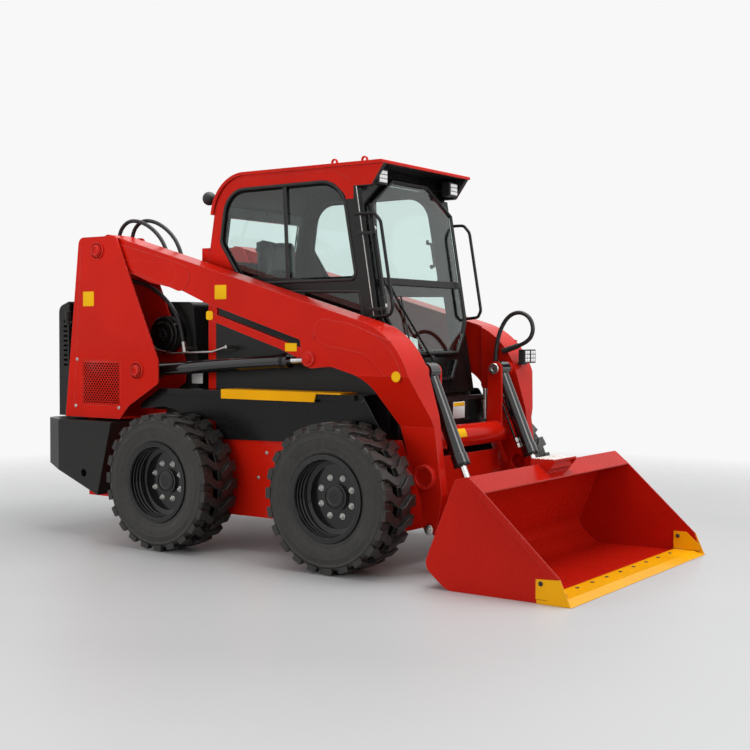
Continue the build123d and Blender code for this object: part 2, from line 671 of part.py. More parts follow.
def controls():
    """An arm rest with its lever on each side of the seat, and a display."""
    pieces = []
    for side in (-1, 1):
        y = side * 285
        rest = slab([(330, 961, 0), (330, 1180, 20), (700, 1195, 20), (700, 961, 0)], y - 40, y + 40)
        stick = bent_rod([(640, y, 1185), (665, y, 1250), (672, y, 1300)], 14)
        knob = upright_pin(676, y, 22, 1290, 1345)
        foot = block(330, 700, y - 40, y + 40, CAB_FLOOR + 20.3, 962)
        pieces.append(rest + stick + knob + foot)
    return pieces


# ---------------------------------------------------------------- lift arms
ARM_SIDE = [(-700, 1640, 0), (-700, 1760, 60), (-600, 1803, 40), (1477, 1215, KNEE_RADIUS),
            (1603, 793, 150), (1653, 400, 0), (1628, 224, 43), (1585, 181, 43), (1542, 224, 43),
            (1528, 369, 0), (1495, 484, 0), (1461, 546, 0), (1404, 737, 100),
            (1276, 985, 200), (1052, 1045, 60), (916, 1030, 45), (864, 1082, 30),
            (855, 1182, 0), (179, 1387, 0), (-6, 1460, 60), (-247, 1509, 60), (-600, 1640, 60)]
REAR_PAD = [(-640, 1675, 30), (-640, 1775, 30), (-160, 1652, 0), (90, 1580, 66), (20, 1440, 66),
            (-215, 1520, 60)]
KNEE_PAD = [(948, 1185, 60), (960, 1300, 60), (1180, 1265, 120), (1440, 1175, 300), (1500, 1000, 0),
            (1400, 1000, 0), (1290, 1110, 150), (1050, 1150, 60)]


def lift_arm():
    """Right lift arm: a box section that bends inward below the knee."""
    arm = slab(ARM_SIDE, -ARM_OUT, -ARM_IN)
    arm += slab(ARM_SIDE, -ARM_IN, -ARM_FRONT_IN) & block(1310, 1800, -500, -400, 0, 2000)
    bend = make_face(Polyline(
        (0, -ARM_OUT - 20, ARM_BEND_TOP), (0, -ARM_OUT, ARM_BEND_TOP),
        (0, -ARM_LOW_OUT, ARM_BEND_BOTTOM), (0, -ARM_LOW_OUT, 0),
        (0, -ARM_OUT - 20, 0), close=True))
    arm -= Pos(1150, 0, 0) * extrude(bend, amount=700, dir=(1, 0, 0))
    for pad in (REAR_PAD, KNEE_PAD):
        arm += slab(pad, -ARM_OUT - ARM_PAD, -ARM_OUT)
    arm += pin(ROD_PIN, BOSS_RADIUS - 8, -ARM_OUT - 12, -ARM_OUT)
    arm -= pin(ARM_PIN, PIN_RADIUS + RUNNING_FIT, -ARM_OUT - 5, -ARM_IN + 5)
    arm -= pin(BUCKET_PIN, BUCKET_PIN_RADIUS + RUNNING_FIT, -ARM_LOW_OUT - 5, -ARM_FRONT_IN + 5)
    arm += pin(TIE_DOWN, TIE_DOWN_RING, -ARM_LOW_OUT - 12, -ARM_FRONT_IN)
    arm -= pin(TIE_DOWN, TIE_DOWN_RADIUS, -ARM_LOW_OUT - 20, -ARM_FRONT_IN + 5)
    pocket = [(700, 900, 0), (700, 1125, 0), (960, 1125, 45), (960, 900, 0)]
    return arm - slab(pocket, -LIFT_Y - 45, -LIFT_Y + 45)


def torque_tube():
    """Cross tubes, with an ear and a pin at each tilt cylinder."""
    end = ARM_FRONT_IN
    x, z = TILT_PIN
    side = [(x - 42, z + 40, 40), (x + 42, z + 40, 40), (TORQUE_TUBE[0] + 50, TORQUE_TUBE[1], 0),
            (TORQUE_TUBE[0] - 50, TORQUE_TUBE[1], 0)]
    ear_face = -TILT_Y + TILT_EYE_HALF + SEAT_GAP
    ear = slab(side, ear_face, ear_face + 14)
    ear += pin(TILT_PIN, TILT_PIN_RADIUS, -end, ear_face + 22)
    ear += pin(TILT_PIN, TILT_PIN_RADIUS + 17, -end, -end + 24)
    return pin(TORQUE_TUBE, TORQUE_RADIUS, -end, end) + ear + other_side(ear)


def cross_tube():
    """Tube between the arms behind the cab, with the plate that holds the rear hoses."""
    y_from = -HOSE_PLATE_Y - HOSE_PLATE / 2
    rear, front = REAR_HOSE[0], REAR_HOSE[-1]
    side = [(rear[0] - 15, rear[1] - 60, 0), (rear[0] - 15, rear[1], 0), (rear[0] + 110, rear[1], 0),
            (CROSS_TUBE[0] + 40, CROSS_TUBE[1] + 55, 0), (front[0] + 100, front[1], 0),
            (front[0] + 100, front[1] - 60, 0), (CROSS_TUBE[0], CROSS_TUBE[1] - 40, 0)]
    plate = slab(side, y_from, y_from + HOSE_PLATE)
    for y, ahead in rear_hose_places():
        for end, before in ((rear, REAR_HOSE[1]), (front, REAR_HOSE[-2])):
            plate += Pos(ahead, 0, 0) * end_fitting(end, before, 45, -y)
    tube = pin(CROSS_TUBE, CROSS_TUBE_RADIUS, -ARM_IN + SEAT_GAP, ARM_IN - SEAT_GAP)
    return tube + plate


def arm_strut():
    """Safety strut stowed under the right arm."""
    side = [(185, 1297, 0), (193, 1339, 0), (720, 1180, 0), (858.4, 1140, 0), (862, 1096, 0),
            (846, 1084, 0), (717, 1133, 0)]
    strut = slab(side, -ARM_OUT + 2, -ARM_OUT + 32)
    hanger = slab([(230, 1320, 0), (230, 1371.0, 0), (260, 1361.9, 0), (260, 1310, 0)],
                  -ARM_OUT + 8, -ARM_OUT + 26)
    return strut + hanger


def arm_lamp():
    """Twin lamp on the front of the left arm's knee, and the fitting of the hose loop."""
    x = 1556
    case = block(x, x + 34, 462, 604, 1050, 1128)
    lenses = block(x + 34, x + 38, 468, 530, 1056, 1122) + block(x + 34, x + 38, 536, 598, 1056, 1122)
    foot = block(LAMP_FOOT_X, x, 505, 560, 1040, 1054)
    end, before = AUX_HOSE[-1], AUX_HOSE[-2]
    reach = math.hypot(end[0] - before[0], end[1] - before[1])
    fitting = end_fitting(end, before, AUX_FITTING, AUX_HOSE_Y)
    anchor = toward(before, end, reach + AUX_FITTING - FITTING_RADIUS)
    fitting += pin(anchor, STALK_RADIUS, AUX_HOSE_Y, ARM_FRONT_IN - SEAT_GAP)
    return [case + lenses + foot, fitting]


def couplers():
    """Quick couplers for attachments, on a shelf fixed to the torque tube."""
    top = AUX_HOSE[0][1] - SEAT_GAP - COUPLER_HEIGHT
    inner, outer = COUPLERS[0][1] - 21.5, COUPLERS[-1][1] + 20
    shelf = block(COUPLERS[0][0] - 24, TORQUE_TUBE[0], inner, outer, top, top + 10)
    shelf += block(TORQUE_TUBE[0] - 30, TORQUE_TUBE[0], inner, outer, TORQUE_TUBE[1], top + 5)
    shelf -= pin(TORQUE_TUBE, TORQUE_RADIUS + SEAT_GAP, inner - 1, outer + 1)
    for x, y in COUPLERS:
        shelf += upright_pin(x, y, 17, top + 10, top + 60)
        shelf += upright_pin(x, y, 21, top + 60, top + 110)
        shelf += upright_pin(x, y, 15, top + 110, top + COUPLER_HEIGHT)
    return shelf


# ---------------------------------------------------------------- cylinders
def barrel(start, end, length, radius, y, eye_radius, eye_half):
    """A cylinder barrel: eye at start, tube along the way to end, gland at its mouth."""
    tube = rod_along(toward(start, end, 38), toward(start, end, length), radius, y)
    tube += rod_along(toward(start, end, length - 60), toward(start, end, length), radius + 4, y)
    return tube + pin(start, eye_radius, y - eye_half, y + eye_half)


def lift_barrel():
    body = barrel(LIFT_PIN, ROD_PIN, LIFT_BARREL_LENGTH, LIFT_BARREL_RADIUS, -LIFT_Y,
                  LIFT_EYE_RADIUS, LIFT_EYE_HALF)
    body -= pin(LIFT_PIN, PIN_RADIUS + RUNNING_FIT, -LIFT_Y - 40, -LIFT_Y + 40)
    bore = rod_along(toward(LIFT_PIN, ROD_PIN, 70), toward(LIFT_PIN, ROD_PIN, LIFT_BARREL_LENGTH + 10),
                     LIFT_ROD_RADIUS + RUNNING_FIT, -LIFT_Y)
    return body - bore


def lift_rod():
    bar = rod_along(toward(LIFT_PIN, ROD_PIN, 230), toward(LIFT_PIN, ROD_PIN, 1235),
                    LIFT_ROD_RADIUS, -LIFT_Y)
    return bar + pin(ROD_PIN, ROD_EYE_RADIUS, -LIFT_Y - 30, -LIFT_Y + 30)


def tilt_barrel():
    body = barrel(TILT_PIN, TILT_EYE, TILT_BARREL_LENGTH, TILT_BARREL_RADIUS, -TILT_Y,
                  TILT_EYE_RADIUS, TILT_EYE_HALF)
    body -= pin(TILT_PIN, TILT_PIN_RADIUS + RUNNING_FIT, -TILT_Y - 50, -TILT_Y + 50)
    bore = rod_along(toward(TILT_PIN, TILT_EYE, 60), toward(TILT_PIN, TILT_EYE, TILT_BARREL_LENGTH + 10),
                     TILT_ROD_RADIUS + RUNNING_FIT, -TILT_Y)
    return body - bore


def tilt_rod():
    bar = rod_along(toward(TILT_PIN, TILT_EYE, 160), toward(TILT_PIN, TILT_EYE, 670),
                    TILT_ROD_RADIUS, -TILT_Y)
    return bar + pin(TILT_EYE, ROD_EYE_RADIUS - 2, -TILT_Y - 31.7, -TILT_Y + 31.7)


# ---------------------------------------------------------------- bucket
def bucket_back(height, gap):
    """The (x, z) that far behind the bucket's rear wall, level with height on it."""
    run = BUCKET_TOP_REAR[0] - BUCKET_REAR[0]
    rise = BUCKET_TOP_REAR[1] - BUCKET_REAR[1]
    length = math.hypot(run, rise)
    x = BUCKET_REAR[0] + (height - BUCKET_REAR[1]) * run / rise
    return x - gap * rise / length, height + gap * run / length


def coupler():
    """Quick-attach frame: ears on the arm pins and a plate behind the bucket."""
    ear = [(1560, 181, 30), (1548, 262, 40), (1700, 445, 30),
           (*bucket_back(440, 2), 0), (*bucket_back(130, 2), 0)]
    outer = ARM_FRONT_IN - 6
    frame = slab(ear, -outer, -outer + 12)
    for inner_edge in (-TILT_Y - 44, -TILT_Y + 32):
        frame += slab(ear, inner_edge, inner_edge + 12)
    frame += pin(BUCKET_PIN, 30, -outer, -TILT_Y + 44)
    frame += pin(BUCKET_PIN, BUCKET_PIN_RADIUS, -ARM_LOW_OUT - 12, -outer)
    frame += other_side(frame)
    back = [bucket_back(125, SEAT_GAP), bucket_back(450, SEAT_GAP),
            bucket_back(450, 12), bucket_back(125, 12)]
    plate = slab([(x, z, 0) for x, z in back], -outer - 14, outer + 14)
    for side in (-1, 1):
        plate -= block(1700, 1900, side * TILT_Y - 32, side * TILT_Y + 32, 250, 440)
    return frame + plate


def bucket_shell():
    """Floor, back and lip of the bucket in one bent plate, with a step on its lip."""
    floor_end = BUCKET_TIP_X - EDGE_DEPTH - SEAT_GAP
    outer = [(floor_end, 0, 0), (BUCKET_FLOOR_REAR, 0, 90), (*BUCKET_REAR, 60),
             (*BUCKET_TOP_REAR, 20), (*BUCKET_BROW, 0), (*BUCKET_LIP, 0)]
    shell = slab(outer, -BUCKET_SHELL_HALF, BUCKET_SHELL_HALF)
    inner = [(floor_end + 10, BUCKET_FLOOR, 0), (BUCKET_FLOOR_REAR + 5, BUCKET_FLOOR, 90),
             (BUCKET_REAR[0] + 16, BUCKET_REAR[1] + 8, 60), (BUCKET_TOP_REAR[0] + 12, 520, 20),
             (BUCKET_BROW[0] - 2, 534, 0), (BUCKET_LIP[0] + 11, 470, 0)]
    shell -= slab(inner, -BUCKET_HALF - 1, BUCKET_HALF + 1)
    step = [(1945, 538, 0), (1950, 575, 0), (2084, 575, 0), (2084, 560, 0), (2040, 506, 0)]
    hollow = [(1990, 520, 0), (1990, 565, 0), (2100, 565, 0), (2100, 520, 0)]
    rise = slab(step, -STEP_HALF, STEP_HALF) - slab(hollow, -STEP_HALF + 8, STEP_HALF - 8)
    return shell + (rise - slab(inner, -BUCKET_HALF - 1, BUCKET_HALF + 1))


def bucket_side():
    edge_rear = BUCKET_TIP_X - EDGE_DEPTH - SEAT_GAP
    side = [(2500, EDGE_THICK + 2, 0), (edge_rear, EDGE_THICK + 2, 0), (edge_rear, 0, 0),
            (BUCKET_FLOOR_REAR, 0, 90), (*BUCKET_REAR, 60), (*BUCKET_TOP_REAR, 20),
            (*BUCKET_BROW, 15), (*BUCKET_LIP, 15), (2470, 117, 0)]
    return slab(side, -BUCKET_SHELL_HALF - BUCKET_PLATE, -BUCKET_SHELL_HALF)


def cutting_edge():
    """Bolt-on edge across the front of the floor, with a cutter on each side."""
    rear = BUCKET_TIP_X - EDGE_DEPTH
    side = [(BUCKET_TIP_X, 0, 0), (rear, 0, 0), (rear, EDGE_THICK, 0), (BUCKET_TIP_X - 60, EDGE_THICK, 0)]
    edge = slab(side, -BUCKET_HALF, BUCKET_HALF)
    cutter = [(rear - 4, EDGE_THICK + 2, 0), (rear - 4, 110, 0), (2470, 117, 0), (2522, 3, 0),
              (rear + 55, 3, 0), (rear + 55, EDGE_THICK + 2, 0)]
    cheek = slab(cutter, -BUCKET_HALF, -BUCKET_SHELL_HALF - BUCKET_PLATE)
    return edge + cheek + other_side(cheek)


# ---------------------------------------------------------------- wheels
def flat_sided(radius, y, sides):
    """A many-sided outline about the Y axis, with its flats at that radius."""
    plane = Plane(origin=(0, y, 0), x_dir=(1, 0, 0), z_dir=(0, 1, 0))
    return plane * (Rot(0, 0, 180 / sides) * RegularPolygon(radius, sides, major_radius=False))


def tyre():
    """One tyre about its own axis along Y: a body of flats with a lug on each flat."""
    half = TYRE_WIDTH / 2
    bore = RIM_SEAT_RADIUS + SEAT_GAP
    slope = (RIM_INSET + RIM_FLANGE + SEAT_GAP) / (TYRE_SIDE_RADIUS - RIM_RADIUS)
    bead = half - slope * (TYRE_SIDE_RADIUS - bore)
    body = extrude(flat_sided(TYRE_BODY_RADIUS, -half, 2 * LUGS_PER_SIDE), amount=TYRE_WIDTH)
    body -= extrude(flat_sided(bore, -half - 1, LUGS_PER_SIDE), amount=TYRE_WIDTH + 2)
    for side in (-1, 1):
        body -= loft([flat_sided(TYRE_SIDE_RADIUS, side * half, LUGS_PER_SIDE),
                      flat_sided(bore, side * bead, LUGS_PER_SIDE)], ruled=True)
    left, right = -LUG_WIDTH / 2, LUG_WIDTH / 2
    corners = [(left + LUG_SKEW, LUG_INNER_END), (right + LUG_SKEW - 8, LUG_INNER_END),
               (right, half), (left, half)]
    foot = TYRE_BODY_RADIUS - 8
    top_view = make_face(Polyline(*[(x, y, 0) for x, y in corners], close=True))
    lug = Pos(-LUG_SKEW / 2, 0, foot) * extrude(top_view, amount=TYRE_LUG_TOP - foot)
    step = 360 / LUGS_PER_SIDE
    lugs = []
    for number in range(LUGS_PER_SIDE):
        lugs.append(Rot(0, step * number, 0) * lug)
        lugs.append(Rot(0, step * (number + 0.5), 0) * other_side(lug))
    return body + lugs


def rim():
    """One wheel about its own axis along Y, outer face at +Y, with hub and axle."""
    half = TYRE_WIDTH / 2 - RIM_INSET
    face = TYRE_WIDTH / 2 - DISC_SET_BACK
    barrel_radius = RIM_SEAT_RADIUS - RIM_METAL
    section = make_face(Polyline(
        (0, half, RIM_RADIUS), (0, half, barrel_radius + 2), (0, face + 8, barrel_radius - 4),
        (0, face, DISC_OUTER_RADIUS), (0, face, 40), (0, face - RIM_METAL, 40),
        (0, face - RIM_METAL, DISC_OUTER_RADIUS), (0, face - 6, barrel_radius),
        (0, -half, barrel_radius), (0, -half, RIM_RADIUS), (0, -half + RIM_FLANGE, RIM_RADIUS),
        (0, -half + RIM_FLANGE, RIM_SEAT_RADIUS), (0, half - RIM_FLANGE, RIM_SEAT_RADIUS),
        (0, half - RIM_FLANGE, RIM_RADIUS), close=True))
    wheel = revolve(section, Axis.Y)
    hub = pin((0, 0), HUB_RADIUS, HOUSING_END + 4 - WHEEL_MIDDLE, face + HUB_HEIGHT)
    shaft = pin((0, 0), AXLE_RADIUS, FRAME_HALF - AXLE_SEAT + 10 - WHEEL_MIDDLE, face)
    return wheel + hub + shaft


# ---------------------------------------------------------------- hoses and pipes
def rear_hose_places():
    """For each of the two rear hoses: its distance from the middle and how far ahead it lies."""
    reach = HOSE_PLATE / 2 + HOSE_RADIUS + 1
    return ((HOSE_PLATE_Y + reach, 0), (HOSE_PLATE_Y - reach, REAR_HOSE_SHIFT))


def rear_hoses():
    """Two hoses that arch over the right arm's pivot."""
    hoses = []
    for y, ahead in rear_hose_places():
        hoses.append(hose([(x + ahead, -y, z) for x, z in REAR_HOSE], HOSE_RADIUS))
    return hoses


def side_hose():
    return hose([(x, -SIDE_HOSE_Y, z) for x, z in SIDE_HOSE], HOSE_RADIUS)


def side_pipe():
    """Steel pipe along the right side, and the two fittings of the side hose."""
    pipe = bent_rod([(x, -SIDE_PIPE_Y, z) for x, z in SIDE_PIPE], PIPE_RADIUS)
    for (x, z), seat in ((SIDE_PIPE[-1], CAB_HALF), (SIDE_PIPE[0], TOWER_IN + PLATE)):
        pipe += pin((x, z), PIPE_RADIUS + 3, -SIDE_PIPE_Y - PIPE_RADIUS - 2, -seat - SEAT_GAP)
    fittings = []
    for end, before, seat in ((SIDE_HOSE[0], SIDE_HOSE[1], TOWER_IN + PLATE),
                              (SIDE_HOSE[-1], SIDE_HOSE[-2], HOOD_HALF)):
        reach = math.hypot(end[0] - before[0], end[1] - before[1])
        foot = pin(toward(before, end, reach + 40), STALK_RADIUS, -SIDE_HOSE_Y, -seat - SEAT_GAP)
        fittings.append(end_fitting(end, before, 60, -SIDE_HOSE_Y) + foot)
    return [pipe] + fittings


def aux_hose():
    return hose([(x, AUX_HOSE_Y, z) for x, z in AUX_HOSE], HOSE_RADIUS)


def keep(name, *solids):
    """Write one piece, moved so that the origin is under the machine's middle."""
    piece = Pos(SHIFT_X, 0, 0) * Compound(children=list(solids))
    piece.label = name
    os.makedirs("parts", exist_ok=True)
    export_step(piece, f"parts/{name}.step")


def main():
    keep("main_frame", main_frame())
    keep("front_cover", front_cover())
    keep("axle_housings", *axle_housings())
    keep("counterweight", counterweight())
    keep("engine_block", engine_block())
    keep("rear_door", rear_door())
    keep("rear_hood", rear_hood())
    right_tower = tower()
    keep("tower_right", right_tower)
    keep("tower_left", other_side(right_tower))
    keep("tower_grilles", *both(tower_grille()))
    keep("air_cleaner", air_cleaner())
    right_fender = fender()
    keep("fender_right", right_fender)
    keep("fender_left", other_side(right_fender))
    keep("side_steps", *both(side_step()))
    right_side = cab_side()
    keep("cab_side_right", right_side + door_hinge_lugs())
    keep("cab_side_left", other_side(right_side))
    keep("cab_glass", *cab_glass())
    keep("cab_roof", cab_roof())
    keep("cab_rear", cab_rear())
    keep("cab_floor", cab_floor())
    keep("cab_front", cab_front())
    frame, glass = cab_door()
    keep("door_frame", frame)
    keep("door_glass", glass)
    keep("grab_handles", *both(grab_handle()))
    keep("lamps", *both(work_lamp()), beacon())
    base, cushions = seat()
    keep("seat_base", base)
    keep("seat", cushions)
    keep("controls", *controls())
    right_arm = lift_arm()
    keep("arm_right", right_arm)
    keep("arm_left", other_side(right_arm))
    keep("torque_tube", torque_tube())
    keep("cross_tube", cross_tube())
    keep("arm_strut", arm_strut())
    keep("arm_lamp", *arm_lamp())
    keep("couplers", couplers())
    for name, make in (("lift_barrels", lift_barrel), ("lift_rods", lift_rod),
                       ("tilt_barrels", tilt_barrel), ("tilt_rods", tilt_rod)):
        keep(name, *both(make()))
    keep("coupler", coupler())
    keep("bucket_shell", bucket_shell())
    keep("bucket_sides", *both(bucket_side()))
    keep("cutting_edge", cutting_edge())
    outer_hose, inner_hose = rear_hoses()
    keep("rear_hose_outer", outer_hose)
    keep("rear_hose_inner", inner_hose)
    keep("side_hose", side_hose())
    keep("side_pipe", *side_pipe())
    keep("aux_hose", aux_hose())
    right_tyre, left_rim = tyre(), rim()
    for end, x in (("rear", 0), ("front", WHEEL_BASE)):
        for side, sign in (("left", 1), ("right", -1)):
            place = Pos(x, sign * WHEEL_MIDDLE, AXLE_HEIGHT)
            keep(f"tyre_{end}_{side}", place * right_tyre)
            keep(f"rim_{end}_{side}", place * (left_rim if sign > 0 else other_side(left_rim)))


if __name__ == "__main__":
    main()
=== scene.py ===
import math

import bmesh
import bpy
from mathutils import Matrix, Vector


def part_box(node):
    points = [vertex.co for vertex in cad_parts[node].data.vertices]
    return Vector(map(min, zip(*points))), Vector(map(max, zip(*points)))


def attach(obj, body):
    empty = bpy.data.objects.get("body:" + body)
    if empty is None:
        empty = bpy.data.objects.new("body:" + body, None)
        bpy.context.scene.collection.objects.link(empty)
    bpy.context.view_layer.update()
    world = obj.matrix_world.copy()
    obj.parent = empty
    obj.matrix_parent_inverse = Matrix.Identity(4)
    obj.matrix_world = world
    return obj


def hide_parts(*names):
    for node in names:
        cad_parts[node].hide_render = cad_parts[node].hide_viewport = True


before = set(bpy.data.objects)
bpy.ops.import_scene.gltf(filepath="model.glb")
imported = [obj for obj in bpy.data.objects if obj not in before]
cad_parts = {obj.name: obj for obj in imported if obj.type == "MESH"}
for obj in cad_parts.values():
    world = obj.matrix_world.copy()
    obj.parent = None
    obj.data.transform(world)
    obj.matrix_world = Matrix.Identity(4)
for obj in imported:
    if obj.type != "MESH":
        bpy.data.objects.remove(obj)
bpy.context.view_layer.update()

scene = bpy.context.scene
scene.view_settings.view_transform = "Standard"
SHIFT_X = 680


def at(x, y, z):
    """A place given in millimetres from the rear axle, as a point of the frame."""
    return Vector(((x - SHIFT_X) / 1000, y / 1000, z / 1000))


# ---------------------------------------------------------------- camera and hoses
camera_data = bpy.data.cameras.new("camera")
camera_data.lens = 59.58
camera = bpy.data.objects.new("camera", camera_data)
camera.location = (4.256, -5.818, 1.207)
camera.rotation_euler = (math.pi / 2 - 0.032, -0.003, 0.609)
scene.collection.objects.link(camera)
scene.camera = camera

HOSE_DIAMETER = 0.024
REAR_HOSE = ((-765, 1720), (-765, 1825), (-684, 1905), (-565, 1895), (-450, 1835), (-365, 1745),
             (-340, 1670))
SIDE_HOSE = ((-560, 1530), (-440, 1508), (-325, 1450), (-225, 1368), (-160, 1270), (-140, 1165))
AUX_HOSE = ((1416, 905), (1416, 1018), (1422, 1135), (1448, 1243), (1502, 1322), (1576, 1345),
            (1642, 1310), (1665, 1237), (1630, 1171), (1566, 1150))


def hose(node, body, points, y, shift=0):
    """A hose on one smooth line through its route's control points."""
    route = [at(x + shift, y, z) for x, z in points]
    curve = bpy.data.curves.new(node + "_line", "CURVE")
    curve.dimensions = "3D"
    spline = curve.splines.new("NURBS")
    spline.points.add(len(route) - 1)
    for point, place in zip(spline.points, route):
        point.co = (*place, 1)
        point.radius = HOSE_DIAMETER / 2
    spline.order_u = 3
    spline.use_endpoint_u = True
    curve.resolution_u = 16
    curve.bevel_depth = 1
    curve.bevel_resolution = 6
    curve.use_fill_caps = True
    piece = bpy.data.objects.new(node + "_smooth", curve)
    scene.collection.objects.link(piece)
    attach(piece, body)
    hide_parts(node)
    return piece


hoses = [hose("rear_hose_outer", "lift_arm", REAR_HOSE, -419.3),
         hose("rear_hose_inner", "lift_arm", REAR_HOSE, -385.3, 80),
         hose("side_hose", "machine", SIDE_HOSE, -500.3),
         hose("aux_hose", "lift_arm", AUX_HOSE, 438.3)]


# ---------------------------------------------------------------- materials
class Finish:
    """A procedural material, built up from small node expressions."""

    def __init__(self, name):
        self.material = bpy.data.materials.new(name)
        self.material.use_nodes = True
        self.tree = self.material.node_tree
        self.tree.nodes.clear()
        self.output = self.node("OutputMaterial")
        self.place = self.node("TexCoord").outputs["Object"]
        self.axes = None

    def node(self, kind, inputs=None, **settings):
        new = self.tree.nodes.new("ShaderNode" + kind)
        for key, value in settings.items():
            setattr(new, key, value)
        for key, value in (inputs or {}).items():
            self.put(new.inputs[key], value)
        return new

    def put(self, socket, value):
        if isinstance(value, bpy.types.NodeSocket):
            self.tree.links.new(value, socket)
        elif socket.type == "RGBA" and len(value) == 3:
            socket.default_value = (*value, 1)
        else:
            socket.default_value = value

    def noise(self, scale, detail=2, distortion=0.0, where=None):
        inputs = {"Vector": where or self.place, "Scale": scale, "Detail": detail,
                  "Distortion": distortion}
        return self.node("TexNoise", inputs).outputs["Fac"]

    def math(self, operation, a, b=0.0):
        new = self.node("Math", operation=operation)
        self.put(new.inputs[0], a)
        self.put(new.inputs[1], b)
        return new.outputs[0]

    def ramp(self, value, low, high, start=0.0, end=1.0):
        inputs = {"Value": value, "From Min": low, "From Max": high, "To Min": start, "To Max": end}
        return self.node("MapRange", inputs).outputs["Result"]

    def mix(self, factor, a, b):
        new = self.node("Mix", data_type="RGBA")
        self.put(new.inputs[0], factor)
        self.put(new.inputs[6], a)
        self.put(new.inputs[7], b)
        return new.outputs[2]

    def stretch(self, x, y, z):
        return self.node("Mapping", {"Vector": self.place, "Scale": (x, y, z)}).outputs["Vector"]

    def axis(self, letter):
        if self.axes is None:
            self.axes = self.node("SeparateXYZ", {"Vector": self.place})
        return self.axes.outputs[letter]

    def bump(self, height, distance, strength=1.0, normal=None):
        inputs = {"Height": height, "Distance": distance, "Strength": strength}
        if normal is not None:
            inputs["Normal"] = normal
        return self.node("Bump", inputs).outputs["Normal"]

    def edge(self, radius):
        """How near a point is to an edge, from 0 on a flat face to 1 on the edge, and a soft normal."""
        soft = self.node("Bevel", {"Radius": radius}, samples=4).outputs["Normal"]
        plain = self.node("NewGeometry").outputs["Normal"]
        both = self.node("VectorMath", operation="DOT_PRODUCT")
        self.put(both.inputs[0], soft)
        self.put(both.inputs[1], plain)
        return self.ramp(both.outputs["Value"], 0.998, 0.93), soft

    def within(self, low, high):
        """1 inside the box between two places given in millimetres, 0 outside it."""
        found = 1.0
        for letter, start, end in zip("XYZ", at(*low), at(*high)):
            found = self.math("MULTIPLY", found, self.math("GREATER_THAN", self.axis(letter), start))
            found = self.math("MULTIPLY", found, self.math("LESS_THAN", self.axis(letter), end))
        return found

    def surface(self, **inputs):
        names = {key: key.replace("_", " ") for key in inputs}
        shader = self.node("BsdfPrincipled", {names[key]: value for key, value in inputs.items()})
        return shader.outputs["BSDF"]

    def blend(self, factor, first, second):
        """Two shaders, the second where the factor is 1."""
        mixed = self.node("MixShader", {"Fac": factor})
        self.put(mixed.inputs[1], first)
        self.put(mixed.inputs[2], second)
        return mixed.outputs[0]

    def done(self, shader):
        self.put(self.output.inputs["Surface"], shader)
        return self.material


def scaled(colour, amount):
    return tuple(min(part * amount, 1.0) for part in colour)


PAINT_EDGE = 0.004
DUST = (0.20, 0.17, 0.14)
BRIGHT_REFLECTION, DARK_REFLECTION = 0.07, 0.22


def painted(finish, colour, roughness, coat=0.0, highlight_lift=0.1, dust=0.0):
    """Sprayed metal: faint clouding, a slight wave, painted highlights along the edges and a little dust
    low down.

    Bright colours, whites among them, get a weaker reflection than blacks, so that they stay deep.
    """
    cloud = finish.ramp(finish.noise(2.4, 4), 0.35, 0.65)
    base = finish.mix(cloud, scaled(colour, 0.92), scaled(colour, 1.06))
    edge, soft = finish.edge(PAINT_EDGE)
    # Painted highlight: near the edges the colour is lifted to 1.2 times itself plus a fixed lift,
    # broken up by noise.
    highlight_breakup = finish.ramp(finish.noise(38, 6, 0.4), 0.5, 0.75, 0.45, 1.0)
    edge_highlight_colour = tuple(min(part * 1.2 + highlight_lift, 1.0) for part in colour)
    base = finish.mix(finish.math("MULTIPLY", edge, highlight_breakup), base, edge_highlight_colour)
    if dust:
        low = finish.ramp(finish.axis("Z"), 0.05, 0.75, 1.0, 0.0)
        specks = finish.ramp(finish.noise(15, 6), 0.42, 0.75)
        amount = finish.math("MULTIPLY", finish.math("MULTIPLY", low, specks), dust)
        base = finish.mix(amount, base, DUST)
    rough = finish.ramp(finish.noise(55, 5), 0.3, 0.7, roughness - 0.03, roughness + 0.05)
    wave = finish.bump(finish.noise(5, 2), 0.0008, 0.25, soft)
    level = BRIGHT_REFLECTION if colour[0] > 0.2 else DARK_REFLECTION
    return finish.surface(Base_Color=base, Roughness=rough, Normal=wave, Coat_Weight=coat,
                          Coat_Roughness=0.05, Specular_IOR_Level=level)


def paint(name, colour, roughness, coat=0.0, highlight_lift=0.1, dust=0.0):
    finish = Finish(name)
    return finish.done(painted(finish, colour, roughness, coat, highlight_lift, dust))


RED = (0.58, 0.012, 0.004)
CHARCOAL = (0.017, 0.017, 0.0165)
BLACK = (0.007, 0.007, 0.007)
YELLOW = (0.88, 0.40, 0.002)


def two_paints(name, first, second, boxes):
    """A part sprayed in one colour, with the inside of each box in another."""
    finish = Finish(name)
    inside = 0.0
    for low, high in boxes:
        inside = finish.math("MAXIMUM", inside, finish.within(low, high))
    return finish.done(finish.blend(inside, painted(finish, *first), painted(finish, *second)))


def metal(name, colour, roughness, brushed=(1, 1, 60)):
    """Plated or brushed metal, with fine lines across one direction, small stains and painted highlights
    on its edges.
    """
    finish = Finish(name)
    lines = finish.noise(90, 3, 0.0, finish.stretch(*brushed))
    stains = finish.noise(24, 5)
    base = finish.mix(finish.ramp(stains, 0.35, 0.7), colour, scaled(colour, 0.78))
    rough = finish.ramp(lines, 0.3, 0.7, roughness, roughness + 0.12)
    edge, soft = finish.edge(0.0012)
    # Painted highlight: the edges are lightened to 1.2 times the colour.
    return finish.done(finish.surface(
        Base_Color=finish.mix(edge, base, scaled(colour, 1.2)), Metallic=1.0, Roughness=rough,
        Normal=finish.bump(lines, 0.0001, 0.3, soft)))


